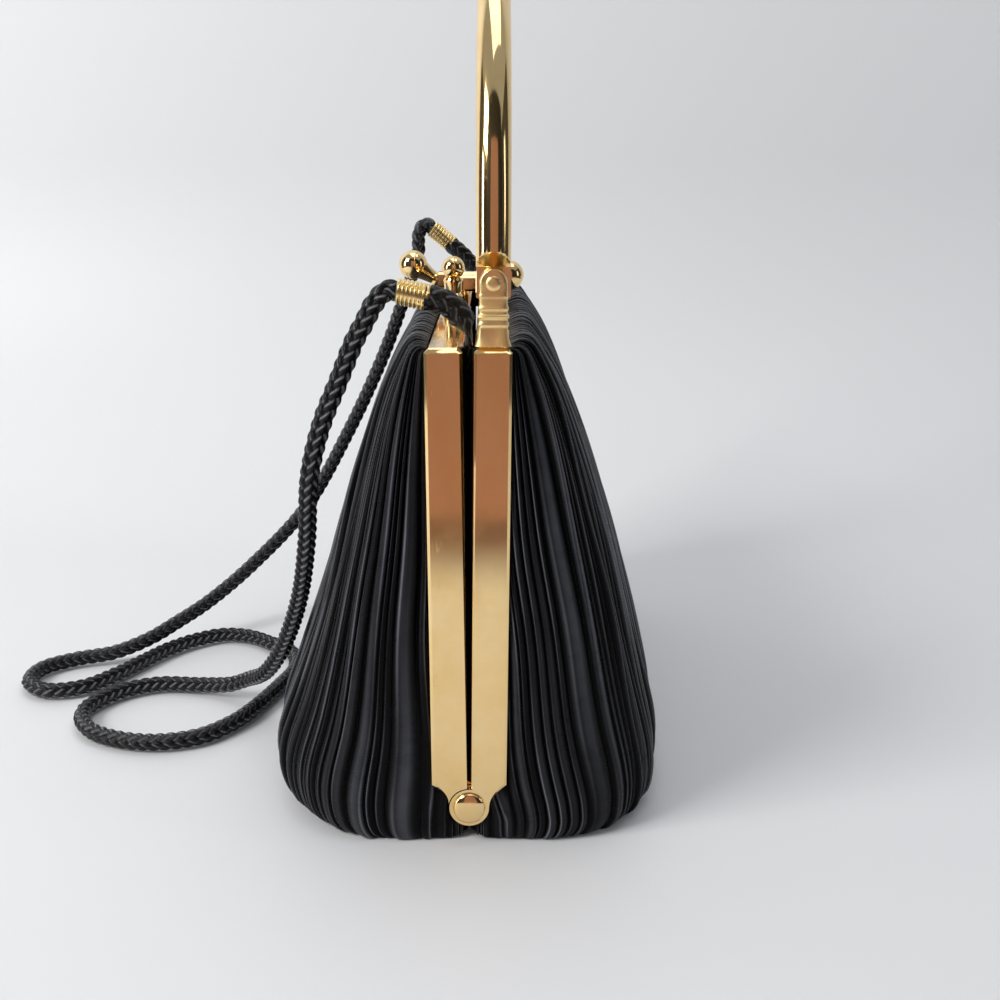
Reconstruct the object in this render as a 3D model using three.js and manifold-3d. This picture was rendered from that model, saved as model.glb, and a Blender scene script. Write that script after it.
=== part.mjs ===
// Evening clutch: a pleated satin pouch on a two-part gilt frame, with a ball clasp,
// an arched handle and a braided shoulder cord. Millimetres, +Z up.
// +X is the near end, -Y the front where the cord hangs, +Y the back with the handle.
// The origin lies on the surface that the bag stands on, under its middle.
import * as THREE from 'three';
import { mergeVertices } from 'three/addons/utils/BufferGeometryUtils.js';
import Module from 'manifold-3d';

const wasm = await Module();
wasm.setup();

// Shared clearances and directions
const SEAT_GAP = 0.3;
const OVERRUN = 1;
const WELD_DISTANCE = 1e-4;
const LENGTH_TOLERANCE = 1e-9;
const ENDS = { near: 1, far: -1 };
const X_AXIS = new THREE.Vector3(1, 0, 0);
const Y_AXIS = new THREE.Vector3(0, 1, 0);
const Z_AXIS = new THREE.Vector3(0, 0, 1);
const ARC_STEPS = 3;
const BALL_SIDES = 12;
const ROD_SIDES = 10;

// Frame: two inverted U bars that lean apart on the hinge rivets
const HALF_LENGTH = 89;
const FRAME_TOP = 115;
const BAR_WIDTH = 8;
const BAR_DEPTH = 4.5;
const BAR_BEVEL = 1;
const BAR_CORNER = 2.5;
const MOUTH_GAP = 2.5;
const FOOT_GAP = 1;
const SHOULDER_HEIGHT = 15;
const HINGE_HEIGHT = 9.3;
const EAR_RADIUS = 4.7;
const EAR_THICKNESS = 2;
const EAR_BEVEL = 0.4;
const EAR_STEPS = 8;
const EAR_OVERLAP = 3;
const EAR_OUTER_TOUCH = Math.PI / 12;
const EAR_INNER_TOUCH = (2 * Math.PI) / 3;
const EAR_WAIST = { out: 0.4, drop: 2 };
const LEAN = Math.atan((MOUTH_GAP - FOOT_GAP) / 2 / (FRAME_TOP - SHOULDER_HEIGHT));
const INNER_Y = FOOT_GAP / 2 - (SHOULDER_HEIGHT - HINGE_HEIGHT) * Math.tan(LEAN);
const MID_Y = INNER_Y + BAR_WIDTH / 2;
const TOP_MID_Y = MOUTH_GAP / 2 + BAR_WIDTH / 2;

// Domed heads of the rivets, from the rim to the crown, as shares of radius and height
const DOME_PROFILE = [
  { reach: 1, rise: 0.25 },
  { reach: 0.82, rise: 0.66 },
  { reach: 0.5, rise: 0.89 },
  { reach: 0, rise: 1 },
];

// Hinge rivets
const HINGE_PIN_RADIUS = 1.5;
const HINGE_HOLE_RADIUS = 1.8;
const HINGE_DOME_RADIUS = 3.1;
const HINGE_FLANGE_RADIUS = 3.7;
const HINGE_FLANGE_THICKNESS = 0.4;
const HINGE_DOME_HEIGHT = 1.7;
const HINGE_TAIL = { radius: 2.4, thickness: 1.2 };

// Tangs that hold the clasp and the brackets to the frame
const TANG_RADIUS = 1;
const TANG_HOLE_RADIUS = 1.3;
const TANG_RECESS = 0.2;
const TANG_FOOT = FRAME_TOP - BAR_DEPTH + TANG_RECESS;
const CLASP_TANG_X = 9;
const BRACKET_TANG_X = 86.7;

// Handle, its brackets and its pivots
const HANDLE_RADIUS = 3.65;
const HANDLE_SIDES = 12;
const HANDLE_STEPS = 38;
const HANDLE_LEG_X = 85;
const HANDLE_Y = TOP_MID_Y;
const HANDLE_FOOT = 124.8;
const HANDLE_LEG_TOP = 140;
const HANDLE_TOP = 207;
const PIVOT_HEIGHT = 128.2;
const LAP_X = 85.4;
const LAP_RISE = 3.5;
const LAP_CUT_DEPTH = 10;
const TONGUE_HALF_WIDTH = 2.95;
const TONGUE_OUTER_X = 88.3;
const TONGUE_SIDES = 16;
const PIVOT_PIN_RADIUS = 1;
const PIVOT_HOLE_RADIUS = 1.3;
const PIVOT_DOME_RADIUS = 1.7;
const PIVOT_DOME_HEIGHT = 0.8;
const PIVOT_RIM = 0.1;
const PIVOT_TAIL = { radius: 1.8, thickness: 0.8 };
const BRACKET_BASE = { innerX: 83.4, outerX: 88.6, width: 7, height: 3.6, bevel: 0.5 };
const BRACKET_RIB = { innerX: 85.5, outerX: 88.8, width: 6.7, height: 1.2, bevel: 0.4 };
const BRACKET_RIB_HEIGHTS = [119.1, 120.6, 122.1];

// Clasp: one casting on each half of the frame
const CLASP_BAR = { halfLength: 15, width: 5, height: 3.3, bevel: 0.6 };
const CLASP_LOBE = { x: 12.5, radius: 2.7, top: 123.4, ballRadius: 3.05, ballHeight: 126 };
const CLASP_ARM = { halfWidth: 2.6, foot: 119.4, height: 4.2, bevel: 0.6 };
const CLASP_NECK = { footRadius: 1.9, ballRadius: 3.3 };
const CLASP_BALL_RADIUS = 4;
const CLASPS = [
  { name: 'clasp_front', side: -1, armX: 6, armEndY: 4.2, ballY: 9.7, ballHeight: 123.6 },
  { name: 'clasp_back', side: 1, armX: -6, armEndY: -10.6, ballY: -17.1, ballHeight: 125.5 },
];

// Satin walls: one row for each level of the pouch, from the mouth down to the seam
// under it. depth and height are those at mid-length, endInset and endHeight those beside
// the frame's post, halfLength the reach along X, lift the share of the pleats that
// stands up, and pleat the share of their full relief.
const WALL = 1.5;
const PLEAT_RELIEF = 1.1;
const PLEAT_CREST = 0.42;
const PLEAT_COUNT = 28;
const PLEAT_WIDTHS = [5.2, 6.6, 4.4, 7, 5.6, 6];
const PLEATS_PER_PANEL = 2;
const PLAN_POWER = 4;
const PLAN_SAMPLES = 720;
const PLEAT_SPACING_ROW = 5;
const POUCH_ROWS = [
  { depth: 9.7, height: 114.2, endInset: 0, endHeight: 114.2, halfLength: 86.6, lift: 0, pleat: 0.1 },
  { depth: 13.6, height: 115, endInset: 0, endHeight: 113, halfLength: 86.9, lift: 1, pleat: 0.7 },
  { depth: 16, height: 112, endInset: 0, endHeight: 110, halfLength: 87.1, lift: 0.6, pleat: 1 },
  { depth: 20.2, height: 103, endInset: 0, endHeight: 101, halfLength: 87.2, lift: 0.1, pleat: 1 },
  { depth: 25.9, height: 88, endInset: 0, endHeight: 86.5, halfLength: 87.3, lift: 0, pleat: 1 },
  { depth: 32.2, height: 68, endInset: 0, endHeight: 67, halfLength: 87.4, lift: 0, pleat: 1 },
  { depth: 38, height: 48, endInset: 0, endHeight: 48, halfLength: 87.4, lift: 0, pleat: 1 },
  { depth: 43.6, height: 30, endInset: 0, endHeight: 28, halfLength: 87.4, lift: 0, pleat: 1 },
  { depth: 47.6, height: 17, endInset: 0, endHeight: 15.2, halfLength: 87.4, lift: 0, pleat: 1 },
  { depth: 48.1, height: 8, endInset: 2, endHeight: 12.2, halfLength: 87.4, lift: 0, pleat: 0.9 },
  { depth: 45.5, height: 2, endInset: 3.4, endHeight: 7, halfLength: 87.2, lift: 0, pleat: 0.6 },
  { depth: 37, height: 0, endInset: 5.4, endHeight: 0, halfLength: 86, lift: 0, pleat: 0 },
  { depth: 9, height: 0, endInset: 6.2, endHeight: 0, halfLength: 84.6, lift: 0, pleat: 0 },
  { depth: 0.4, height: 4.2, endInset: 8.35, endHeight: 4.2, halfLength: 83.6, lift: 0, pleat: 0 },
];
const FIRST_FLOOR_ROW = 11;

// Shoulder cord: a braided cord whose doubled ends are knotted inside the mouth of the
// frame and bound with wire where they come out
const CORD_RADIUS = 2.35;
const CORD_SIDES = 8;
const CORD_STEPS = 66;
const LEAD_X = 76.5;
const LEAD_RADIUS = 2.9;
const LEAD_SIDES = 8;
const LEAD_STEPS = 5;
const TAIL_HALF_WIDTH = 3;
const TAIL_HALF_THICKNESS = 0.9;
const TAIL_TOP = 117.2;
const KNOT_HEIGHT = 104.5;
const KNOT_RADII = [4.2, 3.4, 3.4];
const KNOT_SIDES = 8;
const KNOT_RINGS = 5;
const WRAP_TURNS = 7;
const WRAP_RADIUS = 2.95;
const WRAP_GROOVE = 0.35;
const LEAD_ROUTES = {
  near: [[0, 116.4], [-1.2, 119.4], [-4.2, 122.7], [-7, 123.8], [-8.8, 124.2]],
  far: [[0, 116.4], [-0.8, 119], [-3.6, 122.9], [-8.35, 127.15]],
};
const WRAP_ROUTES = {
  near: [[-9.1, 124.3], [-15.4, 125.6]],
  far: [[-8.6, 127.4], [-15, 132.8]],
};
const CORD_ROUTE = [
  [76.5, -15.8, 125.65], [76.5, -17.6, 125.7], [76.5, -20.4, 122.9], [76.5, -22.7, 118.7],
  [76.5, -24.8, 115], [76.5, -28.6, 106], [76.5, -32.4, 97], [75, -35.8, 85],
  [65, -38.7, 66], [50, -43.6, 46], [34.5, -51.3, 26.5], [24, -58.2, 15],
  [13, -65.5, 8.2], [8.3, -72.2, 4.4], [4.5, -82.4, 2.6], [3.8, -94.5, 2.5],
  [9.3, -104.5, 2.5], [22, -110.5, 2.5], [34, -105.5, 2.5], [40.5, -95, 2.5],
  [42, -84.3, 2.5], [38.5, -74, 2.5], [30, -66.8, 2.5], [21.5, -63, 2.5],
  [6.3, -58.5, 2.5], [-9, -55.5, 2.5], [-21, -58.5, 2.5], [-29, -66.6, 2.5],
  [-35, -74.8, 2.5], [-36.5, -83.5, 2.5], [-32, -91.5, 2.5], [-24, -98.5, 2.5],
  [-13, -104.3, 2.5], [-3, -109.5, 2.5], [6, -116.5, 2.5], [8.5, -126, 2.5],
  [2, -133.5, 2.5], [-8.5, -133, 2.5], [-15.5, -125, 2.6], [-18.5, -114, 3.6],
  [-24, -104.5, 6], [-31.5, -97.3, 8.8], [-41, -89, 12.5], [-52, -76.5, 21.5],
  [-63, -59, 39], [-71, -44.5, 64], [-75.5, -34.5, 84.7], [-76.5, -29, 98],
  [-76.5, -25, 109], [-76.5, -21.6, 118], [-76.5, -19.7, 125.5], [-76.5, -19.6, 130],
  [-76.5, -18.5, 133.1], [-76.5, -16.6, 134.05], [-76.5, -15.27, 133.03],
];

// Finishes
const gilt = () => new THREE.MeshStandardMaterial({ color: 0xe0bf7a, metalness: 1, roughness: 0.18 });
const satin = () => new THREE.MeshStandardMaterial({ color: 0x18181c, metalness: 0, roughness: 0.45 });
const braid = () => new THREE.MeshStandardMaterial({ color: 0x101216, metalness: 0, roughness: 0.5 });

// Turns a closed geometry into a solid that can be joined and cut.
function toSolid(geometry) {
  const bare = new THREE.BufferGeometry();
  bare.setAttribute('position', geometry.getAttribute('position'));
  if (geometry.index) bare.setIndex(geometry.index);
  const merged = mergeVertices(bare, WELD_DISTANCE);
  const vertProperties = new Float32Array(merged.getAttribute('position').array);
  const triVerts = new Uint32Array(merged.index.array);
  return new wasm.Manifold(new wasm.Mesh({ numProp: 3, vertProperties, triVerts }));
}

// Turns a solid back into a geometry.
function toGeometry(solid) {
  const mesh = solid.getMesh();
  const geometry = new THREE.BufferGeometry();
  geometry.setAttribute('position', new THREE.BufferAttribute(mesh.vertProperties, 3));
  geometry.setIndex(new THREE.BufferAttribute(mesh.triVerts, 1));
  geometry.computeVertexNormals();
  return geometry;
}

// Joins geometries into one solid, and cuts others out of it.
function fuse(kept, cuts = []) {
  let solid = kept.map(toSolid).reduce((sum, next) => sum.add(next));
  for (const cut of cuts) solid = solid.subtract(toSolid(cut));
  return toGeometry(solid);
}

function namedMesh(name, geometry, material) {
  const mesh = new THREE.Mesh(geometry, material);
  mesh.name = name;
  return mesh;
}

// Extrudes a shape by depth, with bevelled edges that stay inside its outline. The basis
// says where the shape's own x, y and depth directions point.
function bevelled(shape, depth, bevel, basis) {
  const geometry = new THREE.ExtrudeGeometry(shape, {
    depth: depth - 2 * bevel,
    bevelEnabled: bevel > 0,
    bevelThickness: bevel,
    bevelSize: bevel,
    bevelOffset: -bevel,
    bevelSegments: 1,
    curveSegments: ARC_STEPS,
  });
  geometry.translate(0, 0, bevel);
  geometry.applyMatrix4(new THREE.Matrix4().makeBasis(...basis));
  return geometry;
}

function rectangle(lowX, highX, lowY, highY) {
  return new THREE.Shape([
    new THREE.Vector2(lowX, lowY),
    new THREE.Vector2(highX, lowY),
    new THREE.Vector2(highX, highY),
    new THREE.Vector2(lowX, highY),
  ]);
}

function roundSection(radius, sides) {
  const corners = [];
  for (let i = 0; i < sides; i += 1) {
    const angle = (2 * Math.PI * i) / sides;
    corners.push(new THREE.Vector2(radius * Math.cos(angle), radius * Math.sin(angle)));
  }
  return new THREE.Shape(corners);
}

// A round bar along a curve, closed at both ends.
function tube(curve, radius, sides, steps) {
  return new THREE.ExtrudeGeometry(roundSection(radius, sides), {
    steps,
    extrudePath: curve,
    bevelEnabled: false,
  });
}

// A cylinder along +X or +Z between two places on that axis.
function rodAlongX(lowX, highX, y, z, radius, sides = ROD_SIDES) {
  const rod = new THREE.CylinderGeometry(radius, radius, highX - lowX, sides);
  rod.rotateZ(-Math.PI / 2);
  return rod.translate((lowX + highX) / 2, y, z);
}

function rodAlongZ(x, y, lowZ, highZ, radius, sides = ROD_SIDES) {
  const rod = new THREE.CylinderGeometry(radius, radius, highZ - lowZ, sides);
  rod.rotateX(Math.PI / 2);
  return rod.translate(x, y, (lowZ + highZ) / 2);
}

function ball(x, y, z, radius) {
  return new THREE.SphereGeometry(radius, BALL_SIDES, BALL_SIDES / 2).translate(x, y, z);
}

// The U bar of one half, seen from the side, with heights counted from the hinge axis.
function barGeometry() {
  const foot = SHOULDER_HEIGHT - HINGE_HEIGHT;
  const top = FRAME_TOP - HINGE_HEIGHT;
  const innerX = HALF_LENGTH - BAR_DEPTH;
  const shape = new THREE.Shape();
  shape.moveTo(-HALF_LENGTH, foot);
  shape.lineTo(-innerX, foot);
  shape.lineTo(-innerX, top - BAR_DEPTH);
  shape.lineTo(innerX, top - BAR_DEPTH);
  shape.lineTo(innerX, foot);
  shape.lineTo(HALF_LENGTH, foot);
  shape.lineTo(HALF_LENGTH, top - BAR_CORNER);
  shape.absarc(HALF_LENGTH - BAR_CORNER, top - BAR_CORNER, BAR_CORNER, 0, Math.PI / 2);
  shape.lineTo(BAR_CORNER - HALF_LENGTH, top);
  shape.absarc(BAR_CORNER - HALF_LENGTH, top - BAR_CORNER, BAR_CORNER, Math.PI / 2, Math.PI);
  const geometry = bevelled(shape, BAR_WIDTH, BAR_BEVEL, [X_AXIS, Z_AXIS, Y_AXIS.clone().negate()]);
  return geometry.translate(0, INNER_Y + BAR_WIDTH, 0);
}

// The foot of a post: concave shoulders that draw in to a round ear on the hinge axis.
function earGeometry(lowX) {
  const shoulder = SHOULDER_HEIGHT - HINGE_HEIGHT;
  const outerY = INNER_Y + BAR_WIDTH;
  const shape = new THREE.Shape();
  shape.moveTo(INNER_Y, shoulder + EAR_OVERLAP);
  shape.lineTo(INNER_Y, shoulder);
  shape.lineTo(EAR_RADIUS * Math.cos(EAR_INNER_TOUCH), EAR_RADIUS * Math.sin(EAR_INNER_TOUCH));
  shape.absarc(0, 0, EAR_RADIUS, EAR_INNER_TOUCH, 2 * Math.PI + EAR_OUTER_TOUCH);
  shape.quadraticCurveTo(EAR_RADIUS + EAR_WAIST.out, shoulder - EAR_WAIST.drop, outerY, shoulder);
  shape.lineTo(outerY, shoulder + EAR_OVERLAP);
  const geometry = new THREE.ExtrudeGeometry(shape, {
    depth: EAR_THICKNESS - 2 * EAR_BEVEL,
    bevelThickness: EAR_BEVEL,
    bevelSize: EAR_BEVEL,
    bevelOffset: -EAR_BEVEL,
    bevelSegments: 1,
    curveSegments: EAR_STEPS,
  });
  geometry.translate(0, 0, EAR_BEVEL);
  geometry.applyMatrix4(new THREE.Matrix4().makeBasis(Y_AXIS, Z_AXIS, X_AXIS));
  return geometry.translate(lowX, 0, 0);
}

// One half of the frame, made as the back half. earRecess is how far its ears lie inside
// the ends, and bracketHoles says whether it carries the handle.
function frameGeometry(earRecess, bracketHoles) {
  const outerEar = HALF_LENGTH - earRecess;
  const kept = [
    barGeometry(),
    earGeometry(outerEar - EAR_THICKNESS),
    earGeometry(-outerEar),
  ];
  const top = FRAME_TOP - HINGE_HEIGHT;
  const holeXs = [CLASP_TANG_X, -CLASP_TANG_X];
  if (bracketHoles) holeXs.push(BRACKET_TANG_X, -BRACKET_TANG_X);
  const holeFoot = top - BAR_DEPTH - SEAT_GAP;
  const cuts = holeXs.map((x) => rodAlongZ(x, MID_Y, holeFoot, top + OVERRUN, TANG_HOLE_RADIUS));
  const reach = HALF_LENGTH + OVERRUN;
  cuts.push(rodAlongX(-reach, reach, 0, 0, HINGE_HOLE_RADIUS));
  return fuse(kept, cuts);
}

function addFrame(bag) {
  const back = namedMesh('back_frame', frameGeometry(0, true), gilt());
  back.position.z = HINGE_HEIGHT;
  back.rotation.x = -LEAN;
  const front = namedMesh('front_frame', frameGeometry(EAR_THICKNESS + SEAT_GAP, false), gilt());
  front.position.z = HINGE_HEIGHT;
  front.rotation.set(LEAN, 0, Math.PI);
  bag.add(back, front);
}

// The outline of a rivet from its tail to the crown of its dome. Heights count from the
// face under its head, and tailTop is the height of the tail's inner face.
function rivetOutline(tail, tailTop, pinRadius, flange, dome) {
  const foot = tailTop - tail.thickness;
  const shoulder = SEAT_GAP + flange.thickness;
  const profile = [
    [0, foot], [tail.radius, foot], [tail.radius, tailTop], [pinRadius, tailTop],
    [pinRadius, SEAT_GAP], [flange.radius, SEAT_GAP], [flange.radius, shoulder],
    ...DOME_PROFILE.map(({ reach, rise }) => [reach * dome.radius, shoulder + rise * dome.height]),
  ];
  return profile.map(([radius, height]) => new THREE.Vector2(radius, height));
}

// A rivet on the hinge axis: domed outside on a flange, with a pin and a plain tail.
function addHingeRivets(bag) {
  const tailTop = -2 * EAR_THICKNESS - 2 * SEAT_GAP;
  const flange = { radius: HINGE_FLANGE_RADIUS, thickness: HINGE_FLANGE_THICKNESS };
  const dome = { radius: HINGE_DOME_RADIUS, height: HINGE_DOME_HEIGHT };
  const points = rivetOutline(HINGE_TAIL, tailTop, HINGE_PIN_RADIUS, flange, dome);
  for (const [end, sign] of Object.entries(ENDS)) {
    const rivet = namedMesh(`hinge_rivet_${end}`, new THREE.LatheGeometry(points, BALL_SIDES), gilt());
    rivet.position.set(sign * HALF_LENGTH, 0, HINGE_HEIGHT);
    rivet.rotation.z = (-sign * Math.PI) / 2;
    bag.add(rivet);
  }
}

// The outer face of a leaning post at a height.
function postFace(height) {
  return INNER_Y + BAR_WIDTH + (height - HINGE_HEIGHT) * Math.tan(LEAN);
}

// A point of the satin. Each level is a superellipse quarter pair in plan, from the near
// post (angle 0) round the panel to the far post (angle pi). grow moves the wall outwards,
// or inwards where it is negative.
function pouchPoint(row, angle, grow) {
  const endY = postFace(row.endHeight) + SEAT_GAP - row.endInset;
  const along = Math.sign(Math.cos(angle)) * Math.abs(Math.cos(angle)) ** (2 / PLAN_POWER);
  const across = Math.abs(Math.sin(angle)) ** (2 / PLAN_POWER);
  const depth = Math.max(endY, row.depth + grow);
  const onFloor = POUCH_ROWS.indexOf(row) >= FIRST_FLOOR_ROW;
  const rise = onFloor ? -Math.min(grow, 0) : grow * row.lift;
  const inner = row === POUCH_ROWS[0] ? Math.min(grow, 0) : 0;
  const height = row.height + rise + inner;
  const endHeight = row.endHeight + (onFloor ? rise : 0) + inner;
  return new THREE.Vector3(
    (row.halfLength + grow) * along,
    endY + (depth - endY) * across,
    endHeight + (height - endHeight) * across,
  );
}

// The angles of the pleats' valleys and crests, in turn, spaced along the satin by the
// repeating table of pleat widths.
function pleatAngles() {
  const row = POUCH_ROWS[PLEAT_SPACING_ROW];
  const lengths = [0];
  for (let i = 1; i <= PLAN_SAMPLES; i += 1) {
    const before = pouchPoint(row, (Math.PI * (i - 1)) / PLAN_SAMPLES, 0);
    const here = pouchPoint(row, (Math.PI * i) / PLAN_SAMPLES, 0);
    lengths.push(lengths[i - 1] + here.distanceTo(before));
  }
  const stops = [0];
  for (let pleat = 0; pleat < PLEAT_COUNT; pleat += 1) {
    const width = PLEAT_WIDTHS[pleat % PLEAT_WIDTHS.length];
    const start = stops[stops.length - 1];
    stops.push(start + width * PLEAT_CREST, start + width);
  }
  const scale = lengths[PLAN_SAMPLES] / stops[stops.length - 1];
  return stops.map((stop) => {
    const after = lengths.findIndex((length) => length >= stop * scale - LENGTH_TOLERANCE);
    if (after <= 0) return 0;
    const share = (stop * scale - lengths[after - 1]) / (lengths[after] - lengths[after - 1]);
    return (Math.PI * (after - 1 + share)) / PLAN_SAMPLES;
  });
}

// One wall of the pouch: a pleated outside and a smooth inside, closed round the rim.
function shellGeometry() {
  const angles = pleatAngles();
  const outerColumns = angles.length;
  const stride = 2 * PLEATS_PER_PANEL;
  const innerColumns = (outerColumns - 1) / stride + 1;
  const rows = POUCH_ROWS.length;
  const positions = [];
  for (const row of POUCH_ROWS) {
    angles.forEach((angle, column) => {
      const crest = column % 2 === 1 ? PLEAT_RELIEF * row.pleat : 0;
      positions.push(...pouchPoint(row, angle, crest).toArray());
    });
  }
  for (const row of POUCH_ROWS) {
    for (let panel = 0; panel < innerColumns; panel += 1) {
      positions.push(...pouchPoint(row, angles[panel * stride], -WALL).toArray());
    }
  }
  const outer = (row, column) => row * outerColumns + column;
  const inner = (row, panel) => rows * outerColumns + row * innerColumns + panel;
  const faces = [];
  const quad = (a, b, c, d) => faces.push(a, b, c, a, c, d);
  for (let row = 0; row + 1 < rows; row += 1) {
    for (let column = 0; column + 1 < outerColumns; column += 1) {
      quad(outer(row, column), outer(row + 1, column), outer(row + 1, column + 1), outer(row, column + 1));
    }
    for (let panel = 0; panel + 1 < innerColumns; panel += 1) {
      quad(inner(row, panel), inner(row, panel + 1), inner(row + 1, panel + 1), inner(row + 1, panel));
    }
    const last = outerColumns - 1;
    const end = innerColumns - 1;
    quad(outer(row, 0), inner(row, 0), inner(row + 1, 0), outer(row + 1, 0));
    quad(outer(row, last), outer(row + 1, last), inner(row + 1, end), inner(row, end));
  }
  const seam = rows - 1;
  for (let panel = 0; panel + 1 < innerColumns; panel += 1) {
    const start = panel * stride;
    const middle = start + stride / 2;
    for (let column = start; column < start + stride; column += 1) {
      const near = column < middle ? panel : panel + 1;
      faces.push(outer(0, column), outer(0, column + 1), inner(0, near));
      faces.push(outer(seam, column + 1), outer(seam, column), inner(seam, near));
    }
    faces.push(outer(0, middle), inner(0, panel + 1), inner(0, panel));
    faces.push(outer(seam, middle), inner(seam, panel), inner(seam, panel + 1));
  }
  const geometry = new THREE.BufferGeometry();
  geometry.setAttribute('position', new THREE.Float32BufferAttribute(positions, 3));
  geometry.setIndex(faces);
  geometry.computeVertexNormals();
  return geometry;
}

function addPouch(bag) {
  const back = namedMesh('back_shell', shellGeometry(), satin());
  const front = namedMesh('front_shell', shellGeometry(), satin());
  front.rotation.z = Math.PI;
  bag.add(back, front);
}

// One casting of the clasp: a bar on the frame with a ball-topped lobe at one end, and an
// arm that crosses the mouth to a larger ball on a flared neck.
function claspGeometry({ side, armX, armEndY, ballY, ballHeight }) {
  const y = side * TOP_MID_Y;
  const foot = FRAME_TOP + SEAT_GAP;
  const { halfLength, width, height, bevel } = CLASP_BAR;
  const upright = [X_AXIS, Y_AXIS, Z_AXIS];
  const outline = rectangle(-halfLength, halfLength, y - width / 2, y + width / 2);
  const pieces = [bevelled(outline, height, bevel, upright).translate(0, 0, foot)];
  const lobeX = -side * CLASP_LOBE.x;
  pieces.push(rodAlongZ(lobeX, y, foot + height / 2, CLASP_LOBE.top, CLASP_LOBE.radius));
  pieces.push(ball(lobeX, y, CLASP_LOBE.ballHeight, CLASP_LOBE.ballRadius));
  for (const sign of Object.values(ENDS)) {
    pieces.push(rodAlongZ(sign * CLASP_TANG_X, y, TANG_FOOT, foot + height / 2, TANG_RADIUS));
  }
  const armFootY = y + (side * width) / 2;
  const armOutline = rectangle(
    armX - CLASP_ARM.halfWidth,
    armX + CLASP_ARM.halfWidth,
    Math.min(armFootY, armEndY),
    Math.max(armFootY, armEndY),
  );
  const arm = bevelled(armOutline, CLASP_ARM.height, CLASP_ARM.bevel, upright);
  pieces.push(arm.translate(0, 0, CLASP_ARM.foot));
  pieces.push(rodAlongZ(armX, y, foot + height / 2, CLASP_ARM.foot + OVERRUN, CLASP_ARM.halfWidth));
  const root = new THREE.Vector3(armX, armEndY + side * OVERRUN, CLASP_ARM.foot + CLASP_ARM.height / 2);
  const end = new THREE.Vector3(armX, ballY, ballHeight);
  const direction = end.clone().sub(root);
  const neckLength = direction.length() - CLASP_BALL_RADIUS / 2;
  direction.normalize();
  const { ballRadius, footRadius } = CLASP_NECK;
  const neck = new THREE.CylinderGeometry(ballRadius, footRadius, neckLength, ROD_SIDES);
  neck.applyQuaternion(new THREE.Quaternion().setFromUnitVectors(Y_AXIS, direction));
  const middle = root.clone().addScaledVector(direction, neckLength / 2);
  pieces.push(neck.translate(middle.x, middle.y, middle.z));
  pieces.push(ball(end.x, end.y, end.z, CLASP_BALL_RADIUS));
  return fuse(pieces);
}

function addClasp(bag) {
  for (const clasp of CLASPS) bag.add(namedMesh(clasp.name, claspGeometry(clasp), gilt()));
}

// The near bracket of the handle: a base, ribs, and a round-topped tongue on the pivot.
function bracketGeometry() {
  const baseFoot = FRAME_TOP + SEAT_GAP;
  const slab = ({ innerX, outerX, width, height, bevel }, foot) => {
    const outline = rectangle(innerX, outerX, HANDLE_Y - width / 2, HANDLE_Y + width / 2);
    return bevelled(outline, height, bevel, [X_AXIS, Y_AXIS, Z_AXIS]).translate(0, 0, foot);
  };
  const tongueInner = LAP_X + SEAT_GAP;
  const neck = {
    innerX: tongueInner,
    outerX: TONGUE_OUTER_X,
    width: 2 * TONGUE_HALF_WIDTH,
    height: PIVOT_HEIGHT - baseFoot - OVERRUN,
    bevel: 0,
  };
  const pieces = [
    slab(BRACKET_BASE, baseFoot),
    slab(neck, baseFoot + OVERRUN),
    rodAlongX(tongueInner, TONGUE_OUTER_X, HANDLE_Y, PIVOT_HEIGHT, TONGUE_HALF_WIDTH, TONGUE_SIDES),
    rodAlongZ(BRACKET_TANG_X, HANDLE_Y, TANG_FOOT, baseFoot + OVERRUN, TANG_RADIUS),
    ...BRACKET_RIB_HEIGHTS.map((foot) => slab(BRACKET_RIB, foot)),
  ];
  const holeEnds = [tongueInner - OVERRUN, TONGUE_OUTER_X + OVERRUN];
  return fuse(pieces, [rodAlongX(...holeEnds, HANDLE_Y, PIVOT_HEIGHT, PIVOT_HOLE_RADIUS)]);
}

// The handle's centre line: two straight legs and half an ellipse.
class ArchCurve extends THREE.Curve {
  getPoint(share, target = new THREE.Vector3()) {
    const leg = HANDLE_LEG_TOP - HANDLE_FOOT;
    const arch = 1 - (2 * leg) / (2 * leg + Math.PI * HANDLE_LEG_X);
    const legShare = (1 - arch) / 2;
    if (share < legShare) {
      return target.set(HANDLE_LEG_X, HANDLE_Y, HANDLE_FOOT + (leg * share) / legShare);
    }
    if (share > 1 - legShare) {
      return target.set(-HANDLE_LEG_X, HANDLE_Y, HANDLE_FOOT + (leg * (1 - share)) / legShare);
    }
    const angle = (Math.PI * (share - legShare)) / arch;
    const height = HANDLE_LEG_TOP + (HANDLE_TOP - HANDLE_LEG_TOP) * Math.sin(angle);
    return target.set(HANDLE_LEG_X * Math.cos(angle), HANDLE_Y, height);
  }
}

// The handle: a round tube whose feet are cut away on the outside to lap the tongues.
function handleGeometry() {
  const arch = tube(new ArchCurve(), HANDLE_RADIUS, HANDLE_SIDES, HANDLE_STEPS);
  const lapTop = PIVOT_HEIGHT + LAP_RISE;
  const lapFoot = HANDLE_FOOT - OVERRUN;
  const cuts = [];
  for (const sign of Object.values(ENDS)) {
    const box = new THREE.BoxGeometry(LAP_CUT_DEPTH, 3 * HANDLE_RADIUS, lapTop - lapFoot);
    cuts.push(box.translate(sign * (LAP_X + LAP_CUT_DEPTH / 2), HANDLE_Y, (lapTop + lapFoot) / 2));
  }
  const reach = HANDLE_LEG_X + 2 * HANDLE_RADIUS;
  cuts.push(rodAlongX(-reach, reach, HANDLE_Y, PIVOT_HEIGHT, PIVOT_HOLE_RADIUS));
  return fuse([arch], cuts);
}

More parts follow.
